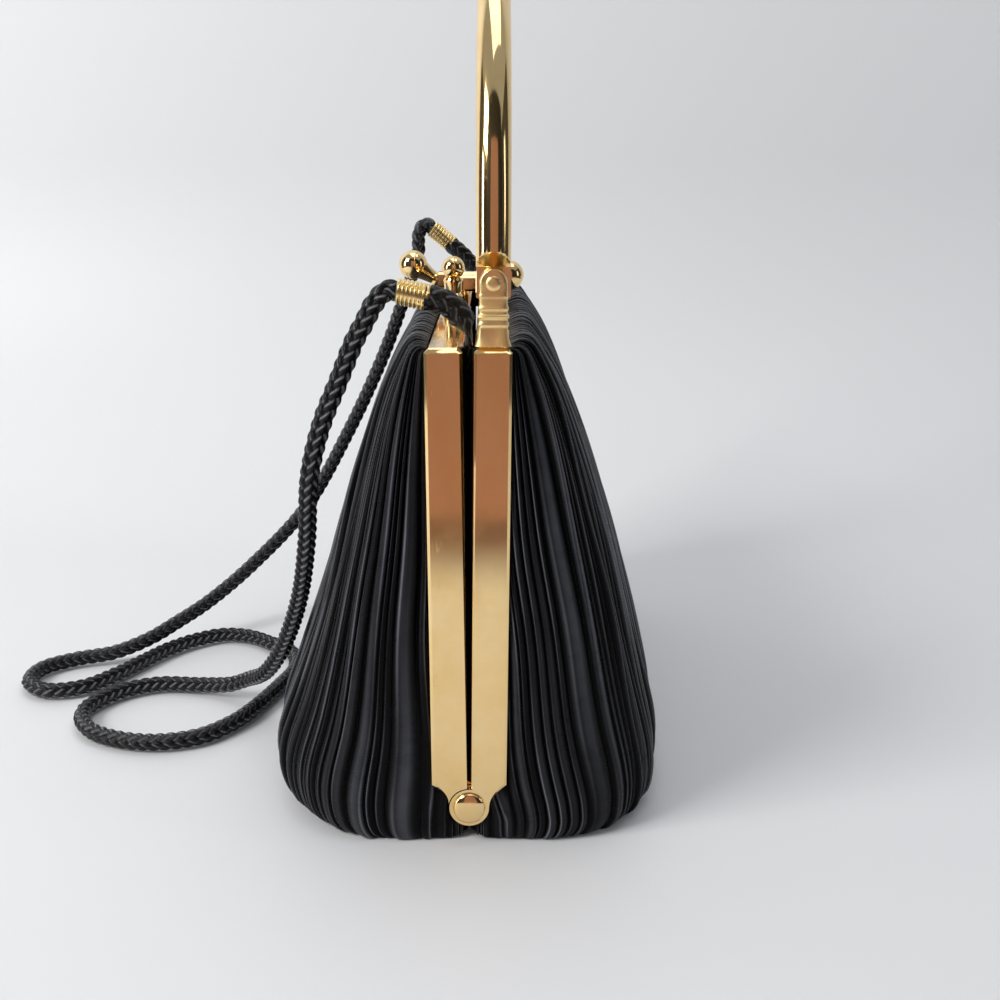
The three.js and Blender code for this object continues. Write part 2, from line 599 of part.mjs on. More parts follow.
// The handle's pivots, from the outside of each tongue to the inside of each leg.
function addHandle(bag) {
  const tailTop = HANDLE_LEG_X - HANDLE_RADIUS - SEAT_GAP - TONGUE_OUTER_X;
  const flange = { radius: PIVOT_DOME_RADIUS, thickness: PIVOT_RIM };
  const dome = { radius: PIVOT_DOME_RADIUS, height: PIVOT_DOME_HEIGHT };
  const points = rivetOutline(PIVOT_TAIL, tailTop, PIVOT_PIN_RADIUS, flange, dome);
  for (const [end, sign] of Object.entries(ENDS)) {
    const bracket = namedMesh(`handle_bracket_${end}`, bracketGeometry(), gilt());
    if (sign < 0) {
      bracket.rotation.z = Math.PI;
      bracket.position.y = 2 * HANDLE_Y;
    }
    const rivet = namedMesh(`handle_rivet_${end}`, new THREE.LatheGeometry(points, ROD_SIDES), gilt());
    rivet.position.set(sign * TONGUE_OUTER_X, HANDLE_Y, PIVOT_HEIGHT);
    rivet.rotation.z = (-sign * Math.PI) / 2;
    bag.add(bracket, rivet);
  }
  bag.add(namedMesh('handle', handleGeometry(), gilt()));
}

const alongRoute = (x) => ([y, z]) => new THREE.Vector3(x, y, z);

// A doubled end of the cord: a knot inside, a tail squeezed in the mouth, and the lead
// that comes out above it.
function leadGeometry(end, x) {
  const knot = new THREE.SphereGeometry(1, KNOT_SIDES, KNOT_RINGS);
  knot.scale(...KNOT_RADII).translate(x, 0, KNOT_HEIGHT);
  const [lowX, highX] = [x - TAIL_HALF_WIDTH, x + TAIL_HALF_WIDTH];
  const outline = rectangle(lowX, highX, -TAIL_HALF_THICKNESS, TAIL_HALF_THICKNESS);
  const tail = bevelled(outline, TAIL_TOP - KNOT_HEIGHT, 0, [X_AXIS, Y_AXIS, Z_AXIS]);
  tail.translate(0, 0, KNOT_HEIGHT);
  const route = new THREE.CatmullRomCurve3(LEAD_ROUTES[end].map(alongRoute(x)), false, 'centripetal');
  return fuse([knot, tail, tube(route, LEAD_RADIUS, LEAD_SIDES, LEAD_STEPS)]);
}

// The wire binding: a barrel with one ridge for each turn.
function wrapGeometry(length) {
  const pitch = length / WRAP_TURNS;
  const points = [new THREE.Vector2(0, -length / 2)];
  for (let turn = 0; turn < WRAP_TURNS; turn += 1) {
    const start = -length / 2 + turn * pitch;
    points.push(new THREE.Vector2(WRAP_RADIUS - WRAP_GROOVE, start));
    points.push(new THREE.Vector2(WRAP_RADIUS, start + pitch / 2));
  }
  points.push(new THREE.Vector2(WRAP_RADIUS - WRAP_GROOVE, length / 2));
  points.push(new THREE.Vector2(0, length / 2));
  return new THREE.LatheGeometry(points, ROD_SIDES);
}

function addCord(bag) {
  const route = CORD_ROUTE.map(([x, y, z]) => new THREE.Vector3(x, y, z));
  const curve = new THREE.CatmullRomCurve3(route, false, 'centripetal');
  bag.add(namedMesh('shoulder_cord', tube(curve, CORD_RADIUS, CORD_SIDES, CORD_STEPS), braid()));
  for (const [end, sign] of Object.entries(ENDS)) {
    const x = sign * LEAD_X;
    bag.add(namedMesh(`cord_lead_${end}`, leadGeometry(end, x), braid()));
    const [start, stop] = WRAP_ROUTES[end].map(alongRoute(x));
    const wrap = namedMesh(`cord_wrap_${end}`, wrapGeometry(start.distanceTo(stop)), gilt());
    wrap.position.copy(start).add(stop).multiplyScalar(0.5);
    wrap.quaternion.setFromUnitVectors(Y_AXIS, stop.clone().sub(start).normalize());
    bag.add(wrap);
  }
}

const clutch = new THREE.Group();
addFrame(clutch);
addHingeRivets(clutch);
addPouch(clutch);
addClasp(clutch);
addHandle(clutch);
addCord(clutch);

export default clutch;
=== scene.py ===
# %% [markdown]
# # An evening clutch
# A small bag of pleated black satin sits in a hinged gilt frame. A ball clasp closes the
# frame, an arched handle swings on its back half, and a braided cord hangs from both ends
# and lies in loops beside the bag.
#
# The solids of the part are loaded first and stay where they are. Every piece below is
# drawn around them, in the same axes: +X points to the near end, -Y to the front where the
# cord hangs, +Y to the back that carries the handle, and +Z up.

import bpy
import numpy as np
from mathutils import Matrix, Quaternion, Vector


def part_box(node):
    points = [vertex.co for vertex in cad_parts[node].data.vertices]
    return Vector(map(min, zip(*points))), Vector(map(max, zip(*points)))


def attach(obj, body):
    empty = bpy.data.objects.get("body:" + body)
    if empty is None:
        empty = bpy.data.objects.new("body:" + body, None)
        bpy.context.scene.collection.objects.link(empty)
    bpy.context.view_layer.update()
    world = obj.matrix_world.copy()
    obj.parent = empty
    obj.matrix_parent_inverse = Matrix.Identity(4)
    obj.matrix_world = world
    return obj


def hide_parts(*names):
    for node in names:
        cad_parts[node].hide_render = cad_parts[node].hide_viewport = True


MM = 0.001
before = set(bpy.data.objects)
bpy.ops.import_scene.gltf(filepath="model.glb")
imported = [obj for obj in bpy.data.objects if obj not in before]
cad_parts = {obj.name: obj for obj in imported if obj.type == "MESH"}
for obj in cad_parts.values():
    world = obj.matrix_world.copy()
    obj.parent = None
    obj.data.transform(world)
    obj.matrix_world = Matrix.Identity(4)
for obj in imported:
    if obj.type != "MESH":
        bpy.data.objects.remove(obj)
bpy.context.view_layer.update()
scene = bpy.context.scene


def node_box(name):
    """The lowest and highest corner of a solid, in millimetres."""
    low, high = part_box(name)
    return np.array(low) / MM, np.array(high) / MM


# %% [markdown]
# ## The camera
# The photograph looks at the near end of the bag from a little above, from close by, so
# the far end looks clearly smaller. A camera is placed by where it stands and where it
# aims. Its lens length follows from how fast the frame's posts shrink with distance.

# %% Camera
CAMERA_PLACE = Vector((0.337, 0.0046, 0.149))
CAMERA_AIM = Vector((-0.96589, 0.00843, -0.25882))
CAMERA_LENS = 43.2
CAMERA_ROLL = np.radians(0.25)

camera_data = bpy.data.cameras.new("photo_camera")
camera_data.lens = CAMERA_LENS
camera_data.sensor_width = 36.0
camera = bpy.data.objects.new("photo_camera", camera_data)
camera.location = CAMERA_PLACE
camera.rotation_mode = "QUATERNION"
roll = Quaternion((0, 0, 1), CAMERA_ROLL)
camera.rotation_quaternion = CAMERA_AIM.to_track_quat("-Z", "Y") @ roll
scene.collection.objects.link(camera)
scene.camera = camera
print("camera at", tuple(round(x, 3) for x in CAMERA_PLACE), "lens", CAMERA_LENS, "mm")

# %% [markdown]
# ## Surfaces from arrays
# Each piece is a grid of points worked out at once with numpy. A surface here is a pair: an
# array of points, and a list of arrays of corner numbers, one array for each kind of face.
# Surfaces can be joined, mirrored and turned the right way out before they become a mesh.


# %% Surface helpers
def unit(vectors):
    """Vectors divided by their lengths. A vector of no length stays as it is."""
    return vectors / np.maximum(np.linalg.norm(vectors, axis=-1, keepdims=True), 1e-12)


def grid_faces(rows, columns, wrap=False):
    """Quads of a grid: corners (i, j), (i, j + 1), (i + 1, j + 1), (i + 1, j). With wrap,
    the last column joins the first."""
    steps = columns if wrap else columns - 1
    row, column = np.meshgrid(np.arange(rows - 1), np.arange(steps), indexing="ij")
    after = (column + 1) % columns
    low, high = row * columns, (row + 1) * columns
    return np.stack((low + column, low + after, high + after, high + column), -1).reshape(-1, 4)


def rings_surface(rings):
    """Rings of points, one after another, as a closed surface: quads between the rings, and
    one flat face over each end."""
    rows, columns, _ = rings.shape
    first = np.arange(columns)[::-1].reshape(1, -1)
    last = (rows - 1) * columns + np.arange(columns).reshape(1, -1)
    return rings.reshape(-1, 3), [grid_faces(rows, columns, wrap=True), first, last]


def joined(*surfaces):
    """Several surfaces as one, with each one's corner numbers counted on from the last."""
    points, faces, count = [], [], 0
    for part_points, part_faces in surfaces:
        points.append(part_points)
        faces += [group + count for group in part_faces]
        count += len(part_points)
    return np.vstack(points), faces


def volume(surface):
    """The sum of the tetrahedra between the origin and each face, cut into a fan."""
    points, faces = surface
    total = 0.0
    for group in faces:
        for corner in range(1, group.shape[1] - 1):
            a, b, c = points[group[:, 0]], points[group[:, corner]], points[group[:, corner + 1]]
            total += np.einsum("ij,ij->", a, np.cross(b, c)) / 6
    return total


def outward(surface):
    """The closed surface with its faces turned outwards: its volume is above zero."""
    points, faces = surface
    return surface if volume(surface) > 0 else (points, [group[:, ::-1] for group in faces])


def mirrored(surface, axis):
    """The surface mirrored across the plane through the origin, with its faces turned."""
    points, faces = surface
    flip = np.ones(3)
    flip[axis] = -1
    return points * flip, [group[:, ::-1] for group in faces]


# %% Piece helper
SMOOTH_ANGLE = np.radians(28)


def make_piece(name, surface, material, stands_for=(), body="bag", uv=None, values=None, crisp=True):
    """A mesh object of a surface in millimetres. Edges sharper than SMOOTH_ANGLE stay crisp
    unless the piece is soft. uv and values hold one row for each point."""
    points, faces = surface
    mesh = bpy.data.meshes.new(name)
    mesh.from_pydata((points * MM).tolist(), [], [face for group in faces for face in group.tolist()])
    mesh.polygons.foreach_set("use_smooth", np.ones(len(mesh.polygons), bool))
    if crisp:
        mesh.set_sharp_from_angle(angle=SMOOTH_ANGLE)
    if uv is not None:
        corner = np.empty(len(mesh.loops), np.int32)
        mesh.loops.foreach_get("vertex_index", corner)
        mesh.uv_layers.new(name="UVMap").data.foreach_set("uv", uv[corner].astype(np.float32).ravel())
    for key, value in (values or {}).items():
        attribute = mesh.attributes.new(key, "FLOAT", "POINT")
        attribute.data.foreach_set("value", value.astype(np.float32))
    mesh.materials.append(material)
    piece = bpy.data.objects.new(name, mesh)
    scene.collection.objects.link(piece)
    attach(piece, body)
    if stands_for:
        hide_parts(*stands_for)
    print(f"{name}: {len(points)} points, size in mm {np.round(np.ptp(points, axis=0), 1)}")
    return piece


# %% [markdown]
# ## Shared finishes
# Two effects are used by more than one material. Plated metal has faint smudges, a slow
# ripple in its reflections and hairline scratches. Satin and braid both have fine slanting
# threads. Each effect is a node group, so one change reaches every material that uses it.
# A group gives only masks and heights, and the shader itself stays in the material.


# %% Node helpers
def add_node(tree, kind, **settings):
    """A node of a kind with its settings. A setting that names an input sets that input."""
    node = tree.nodes.new(kind)
    for key, value in settings.items():
        name = key.replace("_", " ").title()
        if name in node.inputs:
            node.inputs[name].default_value = value
        else:
            setattr(node, key, value)
    return node


def new_group(name, inputs, outputs):
    """An empty shader node group with float inputs and outputs, and a vector to read."""
    group = bpy.data.node_groups.new(name, "ShaderNodeTree")
    group.interface.new_socket("Vector", in_out="INPUT", socket_type="NodeSocketVector")
    for label, value in inputs.items():
        socket = group.interface.new_socket(label, in_out="INPUT", socket_type="NodeSocketFloat")
        socket.default_value = value
    for label in outputs:
        group.interface.new_socket(label, in_out="OUTPUT", socket_type="NodeSocketFloat")
    return group, group.nodes.new("NodeGroupInput"), group.nodes.new("NodeGroupOutput")


def math_node(tree, operation, first, second):
    """A math node of two values, each a socket or a number."""
    node = add_node(tree, "ShaderNodeMath", operation=operation)
    for place, value in enumerate((first, second)):
        if isinstance(value, (int, float)):
            node.inputs[place].default_value = value
        else:
            tree.links.new(value, node.inputs[place])
    return node.outputs["Value"]


def remap(tree, value, low, high, to_low, to_high):
    """A value's range stretched to another range and held inside it."""
    node = tree.nodes.new("ShaderNodeMapRange")
    for label, number in zip(("From Min", "From Max", "To Min", "To Max"), (low, high, to_low, to_high)):
        node.inputs[label].default_value = number
    tree.links.new(value, node.inputs["Value"])
    return node.outputs["Result"]


# %% Plate wear group
def plate_wear_group():
    """Smudge: cloudy patches. Ripple: slow waves of the surface. Scratch: hairlines, the
    narrow bands where a stretched noise crosses its middle value."""
    group, entry, leave = new_group(
        "plate_wear", {"Smudge Scale": 90.0, "Scratch Scale": 260.0}, ("Smudge", "Ripple", "Scratch")
    )
    smudge = add_node(group, "ShaderNodeTexNoise", detail=5.0, roughness=0.6)
    group.links.new(entry.outputs["Vector"], smudge.inputs["Vector"])
    group.links.new(entry.outputs["Smudge Scale"], smudge.inputs["Scale"])
    ripple = add_node(group, "ShaderNodeTexNoise", scale=55.0, detail=1.0)
    group.links.new(entry.outputs["Vector"], ripple.inputs["Vector"])
    stretch = group.nodes.new("ShaderNodeMapping")
    stretch.inputs["Scale"].default_value = (1.0, 1.0, 0.12)
    stretch.inputs["Rotation"].default_value = (0.25, 0.1, 0.0)
    group.links.new(entry.outputs["Vector"], stretch.inputs["Vector"])
    hair = add_node(group, "ShaderNodeTexNoise", detail=2.0)
    group.links.new(stretch.outputs["Vector"], hair.inputs["Vector"])
    group.links.new(entry.outputs["Scratch Scale"], hair.inputs["Scale"])
    from_middle = math_node(group, "ABSOLUTE", math_node(group, "SUBTRACT", hair.outputs[0], 0.5), 0.0)
    line = remap(group, from_middle, 0.0, 0.006, 1.0, 0.0)
    patch = remap(group, smudge.outputs[0], 0.52, 0.66, 0.0, 1.0)
    group.links.new(smudge.outputs[0], leave.inputs["Smudge"])
    group.links.new(ripple.outputs[0], leave.inputs["Ripple"])
    group.links.new(math_node(group, "MULTIPLY", line, patch), leave.inputs["Scratch"])
    return group


PLATE_WEAR = plate_wear_group()


# %% Slanted thread group
def slanted_thread_group():
    """Thread: the sine of a slanting distance, one wave for each thread, with a little
    noise so that the lines waver. Slub: slow changes of tone along the cloth."""
    group, entry, leave = new_group(
        "slanted_thread", {"Threads": 1500.0, "Slub Scale": 120.0}, ("Thread", "Slub")
    )
    turn = group.nodes.new("ShaderNodeMapping")
    turn.inputs["Rotation"].default_value = (0.0, 0.0, 0.5)
    group.links.new(entry.outputs["Vector"], turn.inputs["Vector"])
    wave = add_node(group, "ShaderNodeTexWave", wave_type="BANDS", bands_direction="X", distortion=1.2)
    wave.inputs["Detail"].default_value = 1.0
    group.links.new(turn.outputs["Vector"], wave.inputs["Vector"])
    group.links.new(entry.outputs["Threads"], wave.inputs["Scale"])
    slub = add_node(group, "ShaderNodeTexNoise", detail=4.0, roughness=0.55)
    group.links.new(entry.outputs["Vector"], slub.inputs["Vector"])
    group.links.new(entry.outputs["Slub Scale"], slub.inputs["Scale"])
    group.links.new(wave.outputs["Fac"], leave.inputs["Thread"])
    group.links.new(slub.outputs[0], leave.inputs["Slub"])
    return group


SLANTED_THREAD = slanted_thread_group()


# %% Material helpers
def new_material(name):
    """A new material, its node tree and its shader."""
    material = bpy.data.materials.new(name)
    material.use_nodes = True
    tree = material.node_tree
    return material, tree, tree.nodes["Principled BSDF"]


def place_group(tree, group, vector, **values):
    """A group placed in a material, reading a vector, with its own values."""
    node = tree.nodes.new("ShaderNodeGroup")
    node.node_tree = group
    tree.links.new(vector, node.inputs["Vector"])
    for key, value in values.items():
        node.inputs[key.replace("_", " ").title()].default_value = value
    return node.outputs


def mixed(tree, factor, first, second):
    """A colour between two colours."""
    node = tree.nodes.new("ShaderNodeMix")
    node.data_type = "RGBA"
    node.inputs["A"].default_value = (*first, 1.0)
    node.inputs["B"].default_value = (*second, 1.0)
    tree.links.new(factor, node.inputs["Factor"])
    return node.outputs["Result"]


def bumped(tree, height, strength, distance, shader):
    """A bump of a height into the shader's normal."""
    node = add_node(tree, "ShaderNodeBump", strength=strength, distance=distance)
    tree.links.new(height, node.inputs["Height"])
    tree.links.new(node.outputs["Normal"], shader.inputs["Normal"])


# %% [markdown]
# ## Gilt
# The frame, clasp and handle are polished and plated in a pale yellow gold, so nearly all
# that one sees on them is a reflection. The colour shifts a little between patches, the
# roughness is low with cloudy smudges, and a slow ripple bends the reflections as stamped
# and plated sheet does. The wire of the bindings, the cast brackets and their pivots have
# the same plate with a softer shine.


# %% Gilt materials
def gilt_material(name, pale, deep, roughness, ripple):
    """A plated metal: colour, roughness and ripple all vary with the shared plate wear."""
    material, tree, shader = new_material(name)
    place = tree.nodes.new("ShaderNodeTexCoord").outputs["Object"]
    wear = place_group(tree, PLATE_WEAR, place)
    tone = remap(tree, wear["Smudge"], 0.35, 0.68, 0.0, 1.0)
    tree.links.new(mixed(tree, tone, pale, deep), shader.inputs["Base Color"])
    cloudy = remap(tree, wear["Smudge"], 0.4, 0.75, roughness, roughness * 2.2)
    scratched = math_node(tree, "ADD", cloudy, math_node(tree, "MULTIPLY", wear["Scratch"], 0.22))
    tree.links.new(scratched, shader.inputs["Roughness"])
    height = math_node(tree, "SUBTRACT", wear["Ripple"], math_node(tree, "MULTIPLY", wear["Scratch"], 0.02))
    bumped(tree, height, 1.0, ripple, shader)
    shader.inputs["Metallic"].default_value = 1.0
    return material


GILT = gilt_material("gilt_plate", (0.96, 0.72, 0.37), (0.92, 0.65, 0.29), 0.07, 0.00006)
GILT_WIRE = gilt_material("gilt_wire", (0.98, 0.8, 0.44), (0.92, 0.69, 0.31), 0.2, 0.00003)
GILT_CAST = gilt_material("gilt_cast", (0.99, 0.78, 0.4), (0.96, 0.69, 0.3), 0.28, 0.0001)
print("gilt finishes:", GILT.name, GILT_WIRE.name, GILT_CAST.name)

# %% [markdown]
# ## Satin and braid
# Black satin is never plain black: each fold has a thin bright line, the wide faces of the
# pleats carry a soft grey sheen, and close by one sees fine slanting threads. The bright
# lines and the sheen are painted highlights: how bright each point of the cloth is comes
# from a value stored on the mesh, and the threads follow the cloth's own flat coordinates.
# The braid has the same black yarn, with a painted highlight along one edge of each strand
# and a faint painted sheen on its raised parts.


# %% Cloth materials
def cloth_material(name, dark, light, gloss, roughness, threads, value_name):
    """A cloth whose colour runs from dark to a painted highlight colour with a value stored on
    the mesh.
    """
    material, tree, shader = new_material(name)
    place = tree.nodes.new("ShaderNodeTexCoord").outputs["UV"]
    yarn = place_group(tree, SLANTED_THREAD, place, threads=threads)
    stored = add_node(tree, "ShaderNodeAttribute", attribute_name=value_name).outputs["Fac"]
    uneven = math_node(tree, "MULTIPLY", stored, remap(tree, yarn["Slub"], 0.3, 0.7, 0.8, 1.15))
    uneven = math_node(tree, "MULTIPLY", uneven, remap(tree, yarn["Thread"], 0.0, 1.0, 0.72, 1.2))
    tree.links.new(mixed(tree, uneven, dark, light), shader.inputs["Base Color"])
    tree.links.new(remap(tree, yarn["Slub"], 0.3, 0.7, *roughness), shader.inputs["Roughness"])
    bumped(tree, yarn["Thread"], 0.3, 0.0001, shader)
    shader.inputs["Specular IOR Level"].default_value = gloss
    return material


# The light colour of the satin is its painted highlight and sheen.
SATIN = cloth_material(
    "black_satin", (0.0008, 0.0009, 0.0015), (0.2, 0.203, 0.23), 0.07, (0.24, 0.36), 760.0, "painted_highlight"
)
# The light colour of the braid is its painted highlight.
BRAID = cloth_material(
    "black_braid", (0.001, 0.001, 0.0016), (0.3, 0.3, 0.33), 0.28, (0.2, 0.32), 2600.0, "strand_highlight"
)
print("cloth finishes:", SATIN.name, BRAID.name)

# %% [markdown]
# ## The shoulder cord
# The cord is one round braid, a little under 5 mm thick. It leaves the wire binding at the
# near end, falls along the front of the bag, lies in two loose loops on the table, and
# climbs to the binding at the far end. Its route is the solid's own route, as listed
# points with a smooth curve through them.
#
# The braid could be made of separate strands, but a relief on one tube is lighter and
# never tangles. Two families of strands wind round the tube in opposite directions. A
# strand passes over two of the other family and under two, so the places where each family
# is on top form columns of slanting bumps along the cord.

# %% Cord route
CORD_RADIUS = 2.35
CORD_ROUTE = np.array([
    [76.5, -15.8, 125.65], [76.5, -17.6, 125.7], [76.5, -20.4, 122.9], [76.5, -22.7, 118.7],
    [76.5, -24.8, 115], [76.5, -28.6, 106], [76.5, -32.4, 97], [75, -35.8, 85],
    [65, -38.7, 66], [50, -43.6, 46], [34.5, -51.3, 26.5], [24, -58.2, 15],
    [13, -65.5, 8.2], [8.3, -72.2, 4.4], [4.5, -82.4, 2.6], [3.8, -94.5, 2.5],
    [9.3, -104.5, 2.5], [22, -110.5, 2.5], [34, -105.5, 2.5], [40.5, -95, 2.5],
    [42, -84.3, 2.5], [38.5, -74, 2.5], [30, -66.8, 2.5], [21.5, -63, 2.5],
    [6.3, -58.5, 2.5], [-9, -55.5, 2.5], [-21, -58.5, 2.5], [-29, -66.6, 2.5],
    [-35, -74.8, 2.5], [-36.5, -83.5, 2.5], [-32, -91.5, 2.5], [-24, -98.5, 2.5],
    [-13, -104.3, 2.5], [-3, -109.5, 2.5], [6, -116.5, 2.5], [8.5, -126, 2.5],
    [2, -133.5, 2.5], [-8.5, -133, 2.5], [-15.5, -125, 2.6], [-18.5, -114, 3.6],
    [-24, -104.5, 6], [-31.5, -97.3, 8.8], [-41, -89, 12.5], [-52, -76.5, 21.5],
    [-63, -59, 39], [-71, -44.5, 64], [-75.5, -34.5, 84.7], [-76.5, -29, 98],
    [-76.5, -25, 109], [-76.5, -21.6, 118], [-76.5, -19.7, 125.5], [-76.5, -19.6, 130],
    [-76.5, -18.5, 133.1], [-76.5, -16.6, 134.05], [-76.5, -15.27, 133.03],
])


def smooth_curve(points, per_span=24):
    """A curve through points. Each span is a cubic whose slopes at its ends come from the
    neighbouring points, weighed by the square roots of the distances between them."""
    padded = np.vstack((2 * points[0] - points[1], points, 2 * points[-1] - points[-2]))
    gap = np.sqrt(np.linalg.norm(np.diff(padded, axis=0), axis=1))[:, None]
    a, b, c, d = padded[:-3], padded[1:-2], padded[2:-1], padded[3:]
    before, here, after = gap[:-2], gap[1:-1], gap[2:]
    slope_b = here * ((b - a) / before - (c - a) / (before + here) + (c - b) / here)
    slope_c = here * ((c - b) / here - (d - b) / (here + after) + (d - c) / after)
    t = np.linspace(0, 1, per_span, endpoint=False)[None, :, None]
    b, c, slope_b, slope_c = (x[:, None, :] for x in (b, c, slope_b, slope_c))
    spans = b + slope_b * t + (3 * (c - b) - 2 * slope_b - slope_c) * t**2
    spans += (2 * (b - c) + slope_b + slope_c) * t**3
    return np.vstack((spans.reshape(-1, 3), points[-1]))


def evenly_spaced(path, step):
    """The path with points at equal distances along it."""
    along = np.concatenate(([0], np.cumsum(np.linalg.norm(np.diff(path, axis=0), axis=1))))
    places = np.linspace(0, along[-1], max(2, round(along[-1] / step)))
    return np.stack([np.interp(places, along, path[:, k]) for k in range(3)], -1), places


def carried_sides(path, start):
    """Two side vectors at each point of a path, turned no more than the path bends: each is
    the one before it with its part along the path taken off."""
    along = unit(np.gradient(path, axis=0))
    side = np.empty_like(path)
    last = np.asarray(start, float)
    for place, direction in enumerate(along):
        last = last - direction * (last @ direction)
        last = last / np.linalg.norm(last)
        side[place] = last
    return side, np.cross(along, side)


# %% Braided tube
BRAID_STRANDS = 6
BRAID_PITCH = 2.9
BRAID_DEPTH = 0.8
CORD_HIDDEN = 2.6


def braid_relief(turn, distance, strands=BRAID_STRANDS, pitch=BRAID_PITCH):
    """Height (0 to 1) and painted highlight mask of a braid at a turn (0 to 1) round the tube
    and a distance along it. right and left count the strands of each family. Their whole
    parts say which family is on top, and the fractions say how far across and along the
    visible piece of strand one is: height = sqrt(across arch) * root of the sine of the run.
    The painted highlight is a pale line along one edge of each visible strand."""
    right = strands * turn + distance / pitch
    left = strands * turn - distance / pitch
    order = np.mod(np.floor(right) + np.floor(left), 4)
    right_on_top = order < 2
    across = np.where(right_on_top, right, left) % 1 - 0.5
    run = np.where(right_on_top, order + left % 1, order - 2 + right % 1) / 2
    arch = np.sqrt(np.clip(1 - (2 * across) ** 2, 0, 1))
    height = arch**0.8 * np.sin(np.pi * np.clip(run, 0.02, 0.98)) ** 0.45
    # Painted highlight: a pale line along one edge of each visible strand, lightening the braid's colour.
    strand_highlight = np.exp(-(((across - 0.34) / 0.09) ** 2)) * (np.abs(run - 0.5) < 0.38)
    return height, strand_highlight


def braided_tube(path, distance, side, other, radius, sides, depth=BRAID_DEPTH):
    """P(i, j) = path + (side cos j + other sin j) (radius - depth (1 - height)). radius may
    change along the path, as one number for each of the two side directions."""
    turn = np.linspace(0, 1, sides, endpoint=False)
    height, strand_highlight = braid_relief(turn[None, :], distance[:, None])
    angle = 2 * np.pi * turn
    ring = np.stack((np.cos(angle), np.sin(angle)), -1)
    reach = np.broadcast_to(np.asarray(radius, float), (len(path), 2))[:, None, :]
    flat = ring[None] * (reach - depth * (1 - height)[..., None])
    rings = path[:, None] + flat[..., :1] * side[:, None] + flat[..., 1:] * other[:, None]
    return rings_surface(rings), height.ravel(), strand_highlight.ravel(), np.tile(turn, len(path))


def tube_uv(turn, radius, distance, sides):
    """Flat coordinates of a tube in metres: the way round it and the way along it."""
    return np.stack((turn * 2 * np.pi * radius * MM, np.repeat(distance, sides) * MM), -1)


# %% Shoulder cord piece
CORD_STEP = 0.42
CORD_SIDES = 48
# Strength of the painted highlight and of the painted sheen on the cord.
CORD_HIGHLIGHT = 0.8
CORD_SHEEN = 0.015

first_way = unit(CORD_ROUTE[0] - CORD_ROUTE[1])
last_way = unit(CORD_ROUTE[-1] - CORD_ROUTE[-2])
cord_points = np.vstack((
    CORD_ROUTE[0] + CORD_HIDDEN * first_way,
    smooth_curve(CORD_ROUTE),
    CORD_ROUTE[-1] + CORD_HIDDEN * last_way,
))
cord_path, cord_distance = evenly_spaced(cord_points, CORD_STEP)
cord_side, cord_other = carried_sides(cord_path, (1, 0, 0))
cord_surface, cord_height, cord_strand_highlight, cord_turn = braided_tube(
    cord_path, cord_distance, cord_side, cord_other, CORD_RADIUS, CORD_SIDES
)
# The braid's colour carries the painted highlight of its strands and a faint painted sheen on their raised
# parts.
shoulder_cord = make_piece(
    "braided_cord", outward(cord_surface), BRAID, ["shoulder_cord"],
    uv=tube_uv(cord_turn, CORD_RADIUS, cord_distance, CORD_SIDES),
    values={"strand_highlight": cord_strand_highlight * CORD_HIGHLIGHT + cord_height * CORD_SHEEN},
)
print("cord length in mm:", round(cord_distance[-1], 1))

# %% [markdown]
# ## The cord's bound ends
# At each end the cord is doubled and pressed into the mouth of the frame, and gilt wire
# binds it just above. The doubled end is a braided tube whose section goes from a flat
# strip in the mouth to a round. The binding is a real helix of wire, because a row of
# rings would not show the slant of the turns.

# %% Cord ends
LEAD_X = 76.5
LEAD_RADIUS = 2.85
LEAD_STEP = 0.3
LEAD_SIDES = 56
LEAD_DEPTH = 0.5
# Strength of the painted highlight and of the painted sheen on the doubled ends.
LEAD_HIGHLIGHT = 0.35
LEAD_SHEEN = 0.01
TAIL_SECTION = (3.0, 0.95)
LEAD_ROUTES = {
    "near": [[0, 107], [0, 112], [-0.1, 116], [-1.2, 119.4], [-4.2, 122.7], [-7, 123.8], [-9.6, 124.4]],
    "far": [[0, 107], [0, 112], [-0.1, 116], [-0.8, 119], [-3.6, 122.9], [-9, 127.75]],
}
WRAP_ROUTES = {
    "near": [[-8.5, 124.15], [-15.6, 125.65]],
    "far": [[-8.6, 127.4], [-15, 132.8]],
}
MOUTH_HEIGHT = 116.5
MOUTH_BLEND = 3.5
WRAP_TURNS = 7.2
WRAP_OUTER = 2.95
WIRE_RADIUS = 0.49
WIRE_SIDES = 10
WIRE_STEPS = 330


def lead_piece(end, x):
    """The doubled end: a tube along the lead's route, with its two radii blended from the
    strip in the mouth to the round above it."""
    route = np.array([(x, y, z) for y, z in LEAD_ROUTES[end]], float)
    path, distance = evenly_spaced(smooth_curve(route), LEAD_STEP)
    other = np.cross(unit(np.gradient(path, axis=0)), (1, 0, 0))
    side = np.broadcast_to((1.0, 0.0, 0.0), path.shape)
    share = np.clip((path[:, 2] - MOUTH_HEIGHT) / MOUTH_BLEND, 0, 1)
    share = (share * share * (3 - 2 * share))[:, None]
    radius = np.array(TAIL_SECTION) * (1 - share) + LEAD_RADIUS * share
    surface, height, strand_highlight, turn = braided_tube(
        path, distance, side, other, radius, LEAD_SIDES, LEAD_DEPTH
    )
    # The doubled end's colour carries the painted highlight of its strands and a faint painted sheen on
    # their raised parts.
    return make_piece(
        f"doubled_end_{end}", outward(surface), BRAID, [f"cord_lead_{end}"],
        uv=tube_uv(turn, LEAD_RADIUS, distance, LEAD_SIDES),
        values={"strand_highlight": strand_highlight * LEAD_HIGHLIGHT + height * LEAD_SHEEN},
    )


